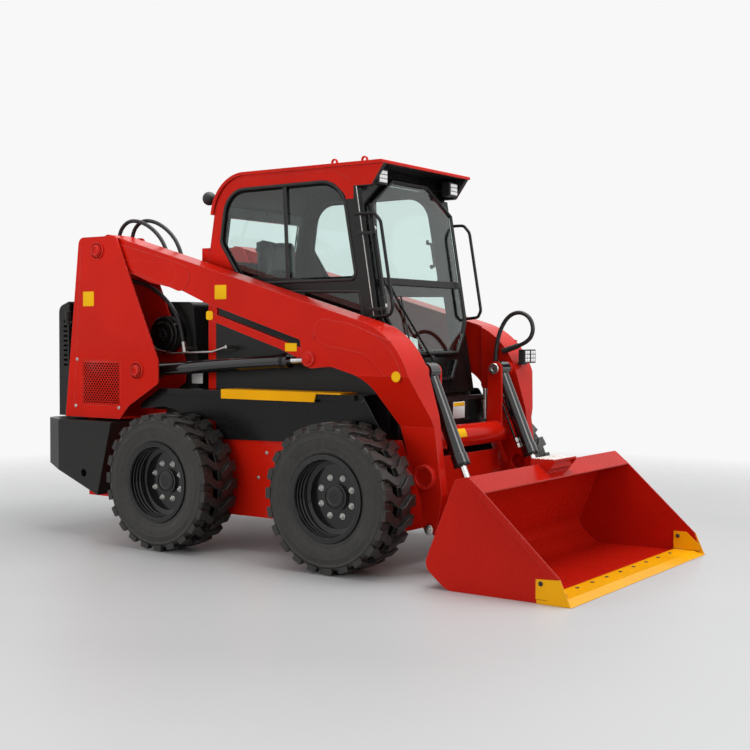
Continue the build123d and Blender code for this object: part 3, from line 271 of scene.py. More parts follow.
def rubber(name, colour, roughness, grain=240, dusty=0.0):
    """Moulded rubber: a fine grain, painted highlights along the edges, and pale dust specks."""
    finish = Finish(name)
    base = finish.mix(finish.ramp(finish.noise(9, 5), 0.35, 0.7), colour, scaled(colour, 1.5))
    edge, soft = finish.edge(0.0025)
    # Painted highlight: the edges are lightened to 3.2 times the colour.
    base = finish.mix(finish.math("MULTIPLY", edge, 0.55), base, scaled(colour, 3.2))
    if dusty:
        specks = finish.ramp(finish.noise(60, 8, 0.6), 0.42, 0.85)
        base = finish.mix(finish.math("MULTIPLY", specks, dusty), base, (0.085, 0.078, 0.068))
    rough = finish.ramp(finish.noise(34, 4), 0.3, 0.7, roughness - 0.06, roughness + 0.08)
    normal = finish.bump(finish.noise(grain, 4), 0.0004, 0.5, soft)
    return finish.done(finish.surface(Base_Color=base, Roughness=rough, Normal=normal))


def glass(name, tint):
    """Tinted safety glass that light and shadow rays pass straight through."""
    finish = Finish(name)
    smear = finish.ramp(finish.noise(6, 5, 1.5), 0.35, 0.8, 0.0, 0.035)
    clear = finish.surface(Base_Color=tint, Roughness=smear, Transmission_Weight=1.0, IOR=1.45)
    path = finish.node("LightPath")
    passing = finish.math("MAXIMUM", path.outputs["Is Shadow Ray"], path.outputs["Is Diffuse Ray"])
    see_through = finish.node("BsdfTransparent", {"Color": tint}).outputs[0]
    return finish.done(finish.blend(passing, clear, see_through))


def vinyl(name):
    """Black seat vinyl with a leather-like grain and a soft sheen."""
    finish = Finish(name)
    cells = finish.node("TexVoronoi", {"Vector": finish.place, "Scale": 420.0},
                        feature="DISTANCE_TO_EDGE").outputs["Distance"]
    grain = finish.ramp(cells, 0.0, 0.25)
    base = finish.mix(grain, (0.008, 0.008, 0.009), (0.024, 0.025, 0.027))
    rough = finish.ramp(finish.noise(30, 4), 0.3, 0.7, 0.42, 0.58)
    return finish.done(finish.surface(Base_Color=base, Roughness=rough, Sheen_Weight=0.15,
                                      Normal=finish.bump(grain, 0.0003, 0.6)))


def perforated(name):
    """Red sheet with staggered rows of oval holes, each painted as a flat unlit black patch: a painted
    shade where the opening would show the dark inside.
    """
    finish = Finish(name)
    sheet = painted(finish, RED, 0.24, 0.10, 0.0)
    pitch_x, pitch_z, roundness = 0.0225, 0.0135, 2.6
    row = finish.math("DIVIDE", finish.axis("Z"), pitch_z)
    odd = finish.math("MULTIPLY", finish.math("FLOORED_MODULO", finish.math("FLOOR", row), 2.0), 0.5)
    column = finish.math("ADD", finish.math("DIVIDE", finish.axis("X"), pitch_x), odd)
    across = finish.math("MULTIPLY", finish.math("SUBTRACT", finish.math("FRACT", column), 0.5), 1.35)
    along = finish.math("SUBTRACT", finish.math("FRACT", row), 0.5)
    reach = finish.math("ADD", finish.math("POWER", finish.math("ABSOLUTE", across), roundness),
                        finish.math("POWER", finish.math("ABSOLUTE", along), roundness))
    hole = finish.ramp(reach, 0.125, 0.09)
    inside_rim = finish.within((-786, -690, 797), (-480, 690, 1042))
    # Painted shade: each hole is a flat black surface with no reflection, not an opening.
    hole_shade = finish.surface(Base_Color=(0.003, 0.003, 0.003), Roughness=0.9, Specular_IOR_Level=0.0)
    return finish.done(finish.blend(finish.math("MULTIPLY", hole, inside_rim), sheet, hole_shade))


red = paint("red_paint", RED, 0.22, 0.10, 0.15)
bucket_red = paint("bucket_red", (0.47, 0.010, 0.004), 0.26, 0.08, 0.12)
charcoal = paint("charcoal_paint", CHARCOAL, 0.38, 0.05, 0.06, 0.04)
black = paint("black_paint", BLACK, 0.24, 0.06, 0.08)
cylinder_black = paint("cylinder_black", (0.008, 0.008, 0.008), 0.10, 1.0, 0.12)
rim_black = paint("rim_paint", (0.006, 0.006, 0.006), 0.16, 0.5, 0.14)
yellow = paint("yellow_paint", YELLOW, 0.28, 0.1, 0.05, 0.05)
zinc = metal("zinc_metal", (0.62, 0.61, 0.58), 0.24)
chrome = metal("chrome_rod", (0.80, 0.80, 0.81), 0.07, (60, 60, 1))
engine_metal = metal("engine_metal", (0.12, 0.12, 0.12), 0.5, (20, 20, 20))
tyre_rubber = rubber("tyre_rubber", (0.0135, 0.0125, 0.0115), 0.42, 200, 0.22)
hose_rubber = rubber("hose_rubber", (0.011, 0.011, 0.011), 0.42, 500)
seal_rubber = rubber("seal_rubber", (0.010, 0.010, 0.010), 0.5, 400)
black_plastic = rubber("black_plastic", (0.014, 0.014, 0.014), 0.48, 700)
tinted = glass("tinted_glass", (0.80, 0.90, 0.88))
seat_vinyl = vinyl("seat_cover")
screen = perforated("grille_screen")
label_yellow = paint("label_yellow", (0.92, 0.50, 0.01), 0.45, 0.0, 0.0)
label_white = paint("label_white", (0.66, 0.66, 0.64), 0.45, 0.0, 0.0)

GLOSSY_RED = (RED, 0.22, 0.10, 0.15)
SATIN_BLACK = (CHARCOAL, 0.32, 0.05, 0.06)
frame_paint = two_paints("frame_paint", GLOSSY_RED, SATIN_BLACK,
                         [((1195, -442, 0), (1420, 442, 720))])
cab_paint = two_paints("cab_side_paint", GLOSSY_RED, SATIN_BLACK,
                       [((58, -600, 0), (1400, 600, 1540)), ((990, -600, 0), (1400, 600, 1936)),
                        ((1039, -600, 0), (1400, 600, 2005)), ((-200, -434, 0), (1400, 434, 2200))])
roof_paint = two_paints("roof_paint", GLOSSY_RED, SATIN_BLACK,
                        [((-200, -440, 0), (1226, 440, 2117))])

FINISH = {
    "cab_side_right": cab_paint, "cab_side_left": cab_paint, "cab_glass": tinted, "door_glass": tinted,
    "cab_roof": roof_paint, "main_frame": frame_paint, "front_cover": black,
    "tower_grilles": screen, "bucket_shell": bucket_red, "bucket_sides": bucket_red,
    "cutting_edge": yellow, "side_steps": yellow, "lift_rods": chrome, "tilt_rods": chrome,
    "lift_barrels": cylinder_black, "tilt_barrels": cylinder_black,
    "counterweight": charcoal, "rear_door": charcoal, "rear_hood": charcoal,
    "axle_housings": black, "engine_block": engine_metal,
    "air_cleaner": black_plastic, "fender_right": black, "fender_left": black, "cab_rear": black,
    "cab_floor": black, "cab_front": black, "door_frame": black, "grab_handles": black,
    "lamps": black_plastic, "seat_base": black, "seat": seat_vinyl, "controls": black_plastic,
    "arm_lamp": black_plastic, "couplers": zinc, "side_pipe": zinc,
}
for name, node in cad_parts.items():
    finish = FINISH.get(name, red)
    if name.startswith("rim_"):
        finish = rim_black
    if name.startswith("tyre_"):
        finish = tyre_rubber
    if name.endswith("_hose") or "_hose_" in name:
        finish = hose_rubber
    node.data.materials.clear()
    node.data.materials.append(finish)
for piece in hoses:
    piece.data.materials.append(hose_rubber)


# ---------------------------------------------------------------- building pieces
def piece_of(name, points, faces, body, finish, slot, smooth=40):
    """A mesh piece from places in millimetres, riding on a body."""
    mesh = bpy.data.meshes.new(name)
    mesh.from_pydata([at(*point) for point in points], [], faces)
    mesh.validate()
    tidy = bmesh.new()
    tidy.from_mesh(mesh)
    bmesh.ops.recalc_face_normals(tidy, faces=tidy.faces)
    tidy.to_mesh(mesh)
    tidy.free()
    mesh.materials.append(finish)
    mesh.shade_smooth()
    mesh.set_sharp_from_angle(angle=math.radians(smooth))
    piece = bpy.data.objects.new(name, mesh)
    scene.collection.objects.link(piece)
    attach(piece, body)
    return piece


def axes_for(direction):
    """Two directions square to one and to each other."""
    direction = Vector(direction).normalized()
    side = direction.cross(Vector((0, 0, 1)))
    if side.length < 0.1:
        side = Vector((1, 0, 0))
    side.normalize()
    return side, side.cross(direction).normalized()


def turned(centre, direction, profile, sides, start=0.0):
    """Points and faces of a profile of (distance along, radius) pairs turned about a direction."""
    direction = Vector(direction).normalized()
    side, up = axes_for(direction)
    points, faces = [], []
    for along, radius in profile:
        for k in range(sides):
            angle = start + 2 * math.pi * k / sides
            offset = side * math.cos(angle) * radius + up * math.sin(angle) * radius
            points.append(Vector(centre) + direction * along + offset)
    for ring in range(len(profile) - 1):
        for k in range(sides):
            a, b = ring * sides + k, ring * sides + (k + 1) % sides
            faces.append((a, b, b + sides, a + sides))
    faces.append(tuple(range(sides)))
    faces.append(tuple(range(len(points) - sides, len(points))))
    return points, faces


def joined(parts):
    """Several sets of points and faces as one."""
    points, faces = [], []
    for more, new_faces in parts:
        start = len(points)
        points += more
        faces += [tuple(index + start for index in face) for face in new_faces]
    return points, faces


def bolt(centre, direction, size, washer=True, stud=False):
    """A hexagon head with a chamfered top, and a washer or a stud where it has one."""
    parts = []
    foot = -0.5
    if washer:
        parts.append(turned(centre, direction, [(foot, size * 1.28), (size * 0.14, size * 1.28),
                                                (size * 0.2, size * 1.2)], 20))
    low, high = size * 0.1, size * 0.85
    parts.append(turned(centre, direction, [(low, size), (high - size * 0.12, size),
                                            (high, size * 0.84)], 6, 0.3))
    if stud:
        parts.append(turned(centre, direction, [(high - 1, size * 0.5), (high + size * 0.5, size * 0.5),
                                                (high + size * 0.6, size * 0.4)], 14))
    return joined(parts)


def bolts(name, places, size, body, finish=None, slot="zinc_metal", washer=True, stud=False):
    parts = [bolt(centre, direction, size, washer, stud) for centre, direction in places]
    return piece_of(name, *joined(parts), body, finish or zinc, slot, 25)


def rounded(corners, closed=True, steps=7):
    """A flat path of (a, b) points with every corner (a, b, radius) turned on an arc."""
    path = []
    count = len(corners)
    for i, (a, b, radius) in enumerate(corners):
        here = Vector((a, b))
        if radius == 0 or (not closed and i in (0, count - 1)):
            path.append(here)
            continue
        before = (Vector(corners[i - 1][:2]) - here).normalized()
        after = (Vector(corners[(i + 1) % count][:2]) - here).normalized()
        half = before.angle(after) / 2
        centre = here + (before + after).normalized() * radius / math.sin(half)
        first = here + before * radius / math.tan(half) - centre
        last = here + after * radius / math.tan(half) - centre
        turn = math.atan2(first.x * last.y - first.y * last.x, first.dot(last))
        for k in range(steps + 1):
            angle = turn * k / steps
            path.append(centre + Vector((first.x * math.cos(angle) - first.y * math.sin(angle),
                                         first.x * math.sin(angle) + first.y * math.cos(angle))))
    return path


def strip(path, closed, profile, place):
    """Points and faces of a profile of (across, proud) pairs led along a flat path."""
    count = len(path)
    points, faces = [], []
    for i, here in enumerate(path):
        before = path[i - 1] if closed or i else path[i]
        after = path[(i + 1) % count] if closed or i < count - 1 else path[i]
        ways = [way.normalized() for way in (here - before, after - here) if way.length > 1e-6]
        way = sum(ways, Vector((0, 0))).normalized()
        widen = 1 / max(way.dot(ways[0]), 0.5)
        normal = Vector((-way.y, way.x))
        for across, proud in profile:
            flat = here + normal * across * widen
            points.append(place(flat.x, flat.y, proud))
    size = len(profile)
    for i in range(count if closed else count - 1):
        for k in range(size):
            a, b = i * size + k, i * size + (k + 1) % size
            c, d = (i + 1) % count * size + (k + 1) % size, (i + 1) % count * size + k
            faces.append((a, b, c, d))
    if not closed:
        faces += [tuple(range(size)), tuple(range((count - 1) * size, count * size))]
    return points, faces


def on_side(y):
    """Places on a face that looks sideways at y: (x, z, proud)."""
    sign = 1 if y > 0 else -1
    return lambda x, z, proud: (x, y + sign * proud, z)


def ridge(width, height):
    half = width / 2
    return [(-half, -1), (-half * 0.8, height * 0.7), (-half * 0.4, height), (half * 0.4, height),
            (half * 0.8, height * 0.7), (half, -1)]


def label(place, low, high, corner, thick=0.8):
    """A thin blank plate with round corners and a soft edge."""
    (a, b), (c, d) = low, high
    outer = rounded([(a, b, corner), (c, b, corner), (c, d, corner), (a, d, corner)])
    middle = Vector(((a + c) / 2, (b + d) / 2))
    rings = [(0.0, -0.5), (0.0, thick * 0.7), (0.6, thick)]
    points = []
    for inset, proud in rings:
        for point in outer:
            way = (middle - point).normalized()
            flat = point + way * inset
            points.append(place(flat.x, flat.y, proud))
    count = len(outer)
    faces = [(r * count + k, r * count + (k + 1) % count, (r + 1) * count + (k + 1) % count,
              (r + 1) * count + k) for r in range(2) for k in range(count)]
    faces += [tuple(range(count)), tuple(range(2 * count, 3 * count))]
    return points, faces


def rod(name, body, finish, points, radius, corner=20):
    """A bent rod or pipe through places in millimetres, its corners softened."""
    curve = bpy.data.curves.new(name, "CURVE")
    curve.dimensions = "3D"
    route = []
    last = len(points) - 1
    for i, point in enumerate(points):
        here = Vector(point)
        if i in (0, last):
            route.append(here)
            continue
        for other in (points[i - 1], points[i + 1]):
            way = Vector(other) - here
            near = here + way.normalized() * min(corner, way.length / 2.1)
            route.append(near)
            if other is points[i - 1]:
                route.append(here)
    spline = curve.splines.new("NURBS")
    spline.points.add(len(route) - 1)
    for point, place in zip(spline.points, route):
        point.co = (*at(*place), 1)
    spline.order_u = 3
    spline.use_endpoint_u = True
    curve.resolution_u = 4
    curve.bevel_depth = radius / 1000
    curve.bevel_resolution = 5
    curve.use_fill_caps = True
    line = bpy.data.objects.new(name + "_line", curve)
    scene.collection.objects.link(line)
    graph = bpy.context.evaluated_depsgraph_get()
    solid = bpy.data.meshes.new_from_object(line.evaluated_get(graph))
    bpy.data.objects.remove(line)
    solid.materials.clear()
    solid.materials.append(finish)
    solid.shade_smooth()
    piece = bpy.data.objects.new(name, solid)
    scene.collection.objects.link(piece)
    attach(piece, body)
    return piece


# ---------------------------------------------------------------- tyres and wheels
WHEEL_BASE, WHEEL_MIDDLE = 1183, 750
WHEELS = {"rear_right": (0, -WHEEL_MIDDLE), "rear_left": (0, WHEEL_MIDDLE),
          "front_right": (WHEEL_BASE, -WHEEL_MIDDLE), "front_left": (WHEEL_BASE, WHEEL_MIDDLE)}
AXLE_HEIGHT = 385
LUGS = 23
TREAD_RADIUS = 383


def tyre_body():
    """The carcass, turned about the wheel's axis: round shoulders, a rib and a bead on each side."""
    half = [(359, 0), (359.5, 40), (361, 80), (363, 108), (362, 117), (358.5, 122.5), (354, 124.5),
            (350, 126.6), (346, 130.6), (342, 131.6), (338, 131.4), (334, 129.2), (328, 129.6),
            (316, 130.6), (309, 131.0), (305, 131.7), (301, 130.6), (288, 130.2), (270, 128.6),
            (254, 125.4), (244, 122.4), (240, 123.4), (236, 122.6), (231, 119.6), (224, 116.4),
            (216, 114.2), (208, 112.5)]
    bore = [(208, -60), (208, 60)]
    section = half + [(radius, -y) for radius, y in reversed(half[1:])] + bore
    sides = LUGS * 5
    points, faces = [], []
    for k in range(sides):
        angle = 2 * math.pi * k / sides
        for radius, y in section:
            points.append((math.sin(angle) * radius, y, math.cos(angle) * radius))
    size = len(section)
    for k in range(sides):
        for i in range(size):
            a, b = k * size + i, k * size + (i + 1) % size
            c, d = (k + 1) % sides * size + (i + 1) % size, (k + 1) % sides * size + i
            faces.append((a, b, c, d))
    return points, faces


def tyre_lug(turn, side):
    """One tread block: across the shoulder, slanting to the middle, with a short foot there."""
    line = [(131.6, 0.0, 28.0), (120, 0.5, 28.0), (100, 2, 27.0), (84, 8, 26.0), (66, 22, 25.0),
            (48, 36, 24.0), (36, 44, 22.5), (24, 47, 21.0), (12, 47.5, 20.0), (6, 47.5, 17.0)]
    points, faces = [], []
    for y, lead, half in line:
        crown = 383.6 - 3.6 * (y / 132) ** 2
        foot = 356 if y < 128 else 350
        for along, radius in ((-half - 4, foot), (-half, crown - 2), (-half + 2.5, crown),
                              (half - 2.5, crown), (half, crown - 2), (half + 4, foot)):
            angle = turn + (lead - 22 + along) / TREAD_RADIUS
            points.append((math.sin(angle) * radius, side * y, math.cos(angle) * radius))
    size = 6
    for i in range(len(line) - 1):
        for k in range(size - 1):
            a, b = i * size + k, i * size + k + 1
            faces.append((a, b, b + size, a + size))
    last = (len(line) - 1) * size
    faces += [tuple(range(size)), tuple(range(last, last + size))]
    return points, faces


def shoulder_notch(turn, side):
    """A small bar between two lugs, low in the groove."""
    points = []
    for y, half in ((96, 7), (60, 6)):
        for along, radius in ((-half, 352), (-half + 2, 367), (half - 2, 367), (half, 352)):
            angle = turn + (along + 30) / TREAD_RADIUS
            points.append((math.sin(angle) * radius, side * y, math.cos(angle) * radius))
    faces = [(0, 1, 5, 4), (1, 2, 6, 5), (2, 3, 7, 6), (0, 1, 2, 3), (4, 5, 6, 7)]
    return points, faces


tread = [tyre_body()]
for number in range(LUGS):
    turn = 2 * math.pi * number / LUGS
    tread.append(tyre_lug(turn, 1))
    tread.append(tyre_lug(turn + math.pi / LUGS, -1))
    tread.append(shoulder_notch(turn, 1))
    tread.append(shoulder_notch(turn + math.pi / LUGS, -1))
tyre_points, tyre_faces = joined(tread)

NUT_CIRCLE = 104
for wheel, (x, y) in WHEELS.items():
    body = "wheel_" + wheel
    centred = [(px + x, py + y, pz + AXLE_HEIGHT) for px, py, pz in tyre_points]
    tyre = piece_of("tread_" + wheel, centred, tyre_faces, body, tyre_rubber, "tyre_rubber", 35)
    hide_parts("tyre_" + wheel)
    out = 1 if y > 0 else -1
    nuts = []
    for k in range(8):
        angle = math.radians(22.5 + 45 * k)
        nuts.append(((x + NUT_CIRCLE * math.sin(angle), out * 775,
                      AXLE_HEIGHT + NUT_CIRCLE * math.cos(angle)), (0, out, 0)))
    bolts("nuts_" + wheel, nuts, 13, body, stud=True)
    rings = [turned((x, out * face, AXLE_HEIGHT), (0, out, 0),
                    [(-7, radius + 6), (-3, radius), (0, radius - 2), (3, radius), (7, radius + 6)], 72)
             for face, radius in ((868, 199), (846, 197), (824, 194), (800, 190))]
    open_rings = [(points, [face for face in faces if len(face) == 4]) for points, faces in rings]
    piece_of("rim_steps_" + wheel, *joined(open_rings), body, rim_black, "rim_paint")
    collar = turned((x, out * 790, AXLE_HEIGHT), (0, out, 0),
                    [(-2, 58), (4, 58), (7, 54), (7, 40), (5, 38), (5, 1)], 48)
    piece_of("hub_cap_" + wheel, *collar, body, rim_black, "rim_paint")


# ---------------------------------------------------------------- cab trim
SIDES = (("right", -1), ("left", 1))
CAB_FACE = 436
FRAME_LINE = [(232, 1543, 55), (98, 1737, 60), (142, 2034, 150), (962, 2040, 170), (1062, 1505, 36),
              (340, 1497, 120)]
LOWER_WINDOW = [(430, 1450, 20), (1080, 1440, 20), (1142, 1080, 20), (780, 1080, 20)]
ROOF_LINE = [(2, 1614, 0), (57, 1937, 120), (150, 2070, 110), (300, 2092, 60), (905, 2094, 60),
             (1015, 2040, 0)]
for side, sign in SIDES:
    place = on_side(sign * CAB_FACE)
    seal = strip(rounded(FRAME_LINE), True, ridge(18, 7), place)
    band = strip(rounded(FRAME_LINE), True, [(-20, -22), (-20, -12), (12, -12), (12, -22)], place)
    low_seal = strip(rounded(LOWER_WINDOW), True, ridge(16, 5), place)
    piece_of("window_seals_" + side, *joined([seal, low_seal]), "machine", seal_rubber, "black_plastic")
    sash = strip([Vector((566, 2030)), Vector((592, 1500))], False, ridge(26, -9), place)
    piece_of("window_sash_" + side, *joined([band, sash]), "machine", seal_rubber, "black_plastic")
    rib = strip(rounded(ROOF_LINE, False), False, ridge(7, 2.4), place)
    piece_of("roof_rib_" + side, *rib, "machine", red, "red_paint")
    # Painted highlight: a thin zinc ridge stands in for the bright line along the bend at the cab's
    # front corner.
    edge = strip([Vector((1058, 2000)), Vector((1185, 1250))], False, ridge(6, 3), place)
    piece_of("pillar_bend_highlight_" + side, *edge, "machine", zinc, "zinc_metal")

GRAB = [(1066, 1850), (1190, 1850), (1230, 1806), (1310, 1351), (1290, 1312), (1159, 1300)]
handles = [rod("grab_handle_" + side, "machine", black,
               [(x, sign * 456, z) for x, z in GRAB], 9, 45) for side, sign in SIDES]
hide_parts("grab_handles")

LENS = Finish("lamp_lens")
cells = LENS.node("TexVoronoi", {"Vector": LENS.place, "Scale": 150.0}, feature="F1")
facets = LENS.ramp(cells.outputs["Distance"], 0.0, 0.7)
lens_white = LENS.done(LENS.surface(
    Base_Color=LENS.mix(facets, (0.95, 0.95, 0.95), (0.66, 0.67, 0.68)), Roughness=0.12,
    Emission_Color=(1.0, 1.0, 1.0), Emission_Strength=0.22,
    Coat_Weight=0.6, Normal=LENS.bump(facets, 0.002, 0.6)))


def on_front(x):
    """Places on a face that looks forwards at x: (y, z, proud)."""
    return lambda y, z, proud: (x + proud, y, z)


def on_top(z):
    """Places on a face that looks up at z: (x, y, proud)."""
    return lambda x, y, proud: (x, y, z + proud)


def pyramid(place, low, high, height, inset):
    """A small raised block with sloping sides, as one cell of a lamp or a tread plate."""
    (a, b), (c, d) = low, high
    points = [place(a, b, -0.5), place(c, b, -0.5), place(c, d, -0.5), place(a, d, -0.5),
              place(a + inset, b + inset, height), place(c - inset, b + inset, height),
              place(c - inset, d - inset, height), place(a + inset, d - inset, height)]
    return points, [(0, 1, 2, 3), (4, 5, 6, 7), (0, 1, 5, 4), (1, 2, 6, 5), (2, 3, 7, 6), (3, 0, 4, 7)]


def cells_of(place, low, high, across, up, height):
    """A grid of pyramid cells over a rectangle."""
    (a, b), (c, d) = low, high
    wide, tall = (c - a) / across, (d - b) / up
    return [pyramid(place, (a + i * wide + 1.2, b + j * tall + 1.2),
                    (a + (i + 1) * wide - 1.2, b + (j + 1) * tall - 1.2), height, min(wide, tall) * 0.16)
            for i in range(across) for j in range(up)]


HEAD_LAMP_FACE, ARM_LAMP_FACE = 1181, 1594
head_cells = []
for middle in (-360, 360):
    head_cells += cells_of(on_front(HEAD_LAMP_FACE), (middle - 36, 2018), (middle + 36, 2084), 3, 3, 4)
piece_of("head_lamp_lenses", *joined(head_cells), "machine", lens_white, "lamp_lens")
arm_cells = []
for start in (468, 536):
    arm_cells += cells_of(on_front(ARM_LAMP_FACE), (start + 4, 1056), (start + 58, 1122), 2, 3, 2)
piece_of("arm_lamp_lenses", *joined(arm_cells), "lift_arm", lens_white, "lamp_lens")

# ---------------------------------------------------------------- tower, arm and frame details
ARM_FACE, PAD_FACE, LOW_FACE = 660.3, 662.3, 544
TOWER_FACE, SCREEN_FACE = 685.3, 683
STRUT_FACE, COVER_FACE, STEP_FACE = 658, 1345, 2058
TIE_DOWN = (1556, 489)
SCREEN = ((-797.7, 785.3), (-468.3, 1053.7))
BOSS = [(-1, 50), (8, 50), (12, 46), (12, 39), (2, 37), (2, 32), (24, 31), (28, 27), (28, 22), (20, 19),
        (20, 1)]
LIFT_BOSS = [(-1, 40), (8, 40), (11, 37), (11, 29), (3, 27), (3, 23), (16, 22), (19, 18), (19, 1)]
grille_plates = []
for side, sign in SIDES:
    face = sign * TOWER_FACE
    out = (0, sign, 0)
    bosses = [turned((x, face, z), out, BOSS, 40) for x, z in ((-657, 1704), (-331, 997))]
    piece_of("tower_bosses_" + side, *joined(bosses), "machine", red, "red_paint")
    grille_plates.append(label(on_side(sign * SCREEN_FACE), *SCREEN, 4, 1.0))
    hub = turned((913, sign * 662, 1080), out, LIFT_BOSS, 36)
    piece_of("lift_boss_" + side, *hub, "lift_arm", red, "red_paint")
    ring = turned((TIE_DOWN[0], sign * LOW_FACE, TIE_DOWN[1]), out,
                  [(-14, 63.5), (1, 63.5), (5, 60), (5, 49), (1, 44), (-40, 42.4)], 44)
    piece_of("tie_down_ring_" + side, *ring, "lift_arm", red, "red_paint")
    # Painted shade: a black disc set deep inside the ring darkens the middle of the tie-down hole.
    bore = turned((TIE_DOWN[0], sign * (LOW_FACE - 39), TIE_DOWN[1]), out,
                  [(-0.5, 42), (0.5, 42), (0.5, 1)], 32)
    piece_of("tie_down_hole_shade_" + side, *bore, "lift_arm", seal_rubber, "black_plastic")
    bolts("tower_bolts_" + side,
          [((x, face, z), out) for x, z in ((-840, 1057), (-854, 776), (-483, 775))], 8, "machine")
    bolts("frame_bolts_" + side, [((x, sign * 580, z), out) for x, z in
                                  ((470, 640), (500, 420), (660, 655), (690, 430), (560, 560))],
          8, "machine")
    bolts("fender_bolts_" + side,
          [((x, sign * 600, z), out) for x, z in ((730, 850), (1222, 862), (415, 850))],
          9, "machine", black, "black_paint")
    flange = strip([Vector((-800, 1750)), Vector((-868, 760))], False, ridge(9, 2.2), on_side(face))
    piece_of("tower_edge_" + side, *flange, "machine", red, "red_paint")
    screws = [((x, sign * 540, z), out) for x, z in ((-1050, 600), (-939, 372), (-760, 660))]
    bolts("counterweight_screws_" + side, screws, 11, "machine", charcoal, "charcoal_paint")
    pin_end = turned((1585, sign * 532, 224), out,
                     [(-3, 26), (4, 26), (6, 22), (6, 14), (12, 13), (13, 8)], 28)
    piece_of("bucket_pin_" + side, *pin_end, "lift_arm", zinc, "zinc_metal")

screens = piece_of("tower_screens", *joined(grille_plates), "machine", screen, "red_paint")
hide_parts("tower_grilles")

piece_of("arm_label", *label(on_side(-ARM_FACE), (252, 1404), (338, 1483), 6), "lift_arm",
         label_yellow, "yellow_paint")
piece_of("tower_label", *label(on_side(-TOWER_FACE), (-787, 1376), (-693, 1464), 5), "machine",
         label_yellow, "yellow_paint")
DISC_SIDES = 28
disc_angles = [2 * math.pi * k / DISC_SIDES for k in range(DISC_SIDES)]
disc = [(1470 + 27 * math.cos(angle), -664.9, 999 + 27 * math.sin(angle)) for angle in disc_angles]
lower = [(x, -663.5, z) for x, y, z in disc]
round_faces = [tuple(range(DISC_SIDES)), tuple(range(DISC_SIDES, 2 * DISC_SIDES))]
round_faces += [(k, (k + 1) % DISC_SIDES, DISC_SIDES + (k + 1) % DISC_SIDES, DISC_SIDES + k)
                for k in range(DISC_SIDES)]
piece_of("knee_label", disc + lower, round_faces, "lift_arm", label_yellow, "yellow_paint")
piece_of("cover_label", *label(on_front(COVER_FACE), (93, 743), (219, 836), 4), "machine",
         label_white, "zinc_metal")
piece_of("cover_label_band", *label(on_front(COVER_FACE + 0.6), (97, 812), (215, 832), 2), "machine",
         label_yellow, "yellow_paint")
piece_of("strut_cap", *label(on_side(-STRUT_FACE), (186, 1290), (236, 1340), 14, 2), "lift_arm",
         label_yellow, "yellow_paint")
piece_of("strut_label", *pyramid(on_side(-STRUT_FACE), (752, 1120), (832, 1164), 1.0, 1), "lift_arm",
         label_yellow, "yellow_paint")

# grip cells on the side steps and on the bucket's step
for side, sign in SIDES:
    low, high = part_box("side_steps")
    start, end = low.x * 1000 + SHIFT_X + 12, high.x * 1000 + SHIFT_X - 12
    top = high.z * 1000
    across = sorted((sign * 500, sign * 622))
    grip = cells_of(on_top(top), (start, across[0]), (end, across[1]), 34, 5, 2.0)
    piece_of("step_grip_" + side, *joined(grip), "machine", yellow, "yellow_paint")
rings = [turned((x, y, 575), (0, 0, 1), [(-1, 9), (2.0, 8), (2.6, 6.5), (0.4, 4.5)], 16)
         for x in (1968, 1994, 2020, 2046, 2070) for y in range(-108, 109, 24)]
piece_of("bucket_step_grip", *joined(rings), "bucket", zinc, "zinc_metal")
piece_of("bucket_step_panel", *pyramid(on_front(STEP_FACE), (-117, 524), (117, 562), 3, 4), "bucket",
         bucket_red, "red_paint")

KNEE_PAD = [(948, 1185, 60), (960, 1300, 60), (1180, 1265, 120), (1440, 1175, 0)]
REAR_PAD = [(-560, 1655, 0), (-60, 1612, 62), (10, 1462, 62), (-430, 1575, 0)]
for side, sign in SIDES:
    lines = [strip(rounded(corners, False), False, ridge(6, 2.2), on_side(sign * PAD_FACE))
             for corners in (KNEE_PAD, REAR_PAD)]
    piece_of("arm_pad_lines_" + side, *joined(lines), "lift_arm", red, "red_paint")

DRUM_X, DRUM_Z = -286, 1206
drum = turned((DRUM_X, -510.6, DRUM_Z), (0, -1, 0),
              [(-2, 108), (4, 108), (8, 104), (8, 78), (12, 75), (12, 34), (20, 32), (22, 28), (22, 14),
               (16, 12), (16, 1)], 48)
piece_of("air_cleaner_lid", *drum, "machine", black, "black_plastic")
clips = [turned((DRUM_X + 106 * math.cos(angle), -505, DRUM_Z + 106 * math.sin(angle)),
                (math.cos(angle), 0, math.sin(angle)), [(-6, 9), (4, 9), (6, 6)], 12)
         for angle in (0.6, 2.5, 4.4)]
piece_of("air_cleaner_clips", *joined(clips), "machine", zinc, "zinc_metal")
piece_of("service_label", *label(on_side(-440), (-129, 921), (-42, 997), 4), "machine",
         label_white, "zinc_metal")

# a bent plate round the torque tube
tube_label = [(1480 + radius * math.cos(angle), y, 665 + radius * math.sin(angle))
              for radius in (62, 60) for y in (-196, -84) for angle in (0.0, 0.2, 0.4, 0.6, 0.8)]
tube_faces = [(k, k + 1, k + 6, k + 5) for k in (0, 1, 2, 3, 10, 11, 12, 13)]
tube_faces += [(k, k + 1, k + 11, k + 10) for k in (0, 1, 2, 3, 5, 6, 7, 8)]
tube_faces += [(0, 5, 15, 10), (4, 9, 19, 14)]
piece_of("torque_tube_label", tube_label, tube_faces, "lift_arm", label_yellow, "yellow_paint")


CAB_FOOT, LEAN = (1297, 620.3), 0.17
AHEAD = (1, 0, LEAN)


def ahead(y, z, out):
    """A place on the leaning front of the cab, out in front of its plane."""
    return (CAB_FOOT[0] - LEAN * (z - CAB_FOOT[1]) + out, y, z)


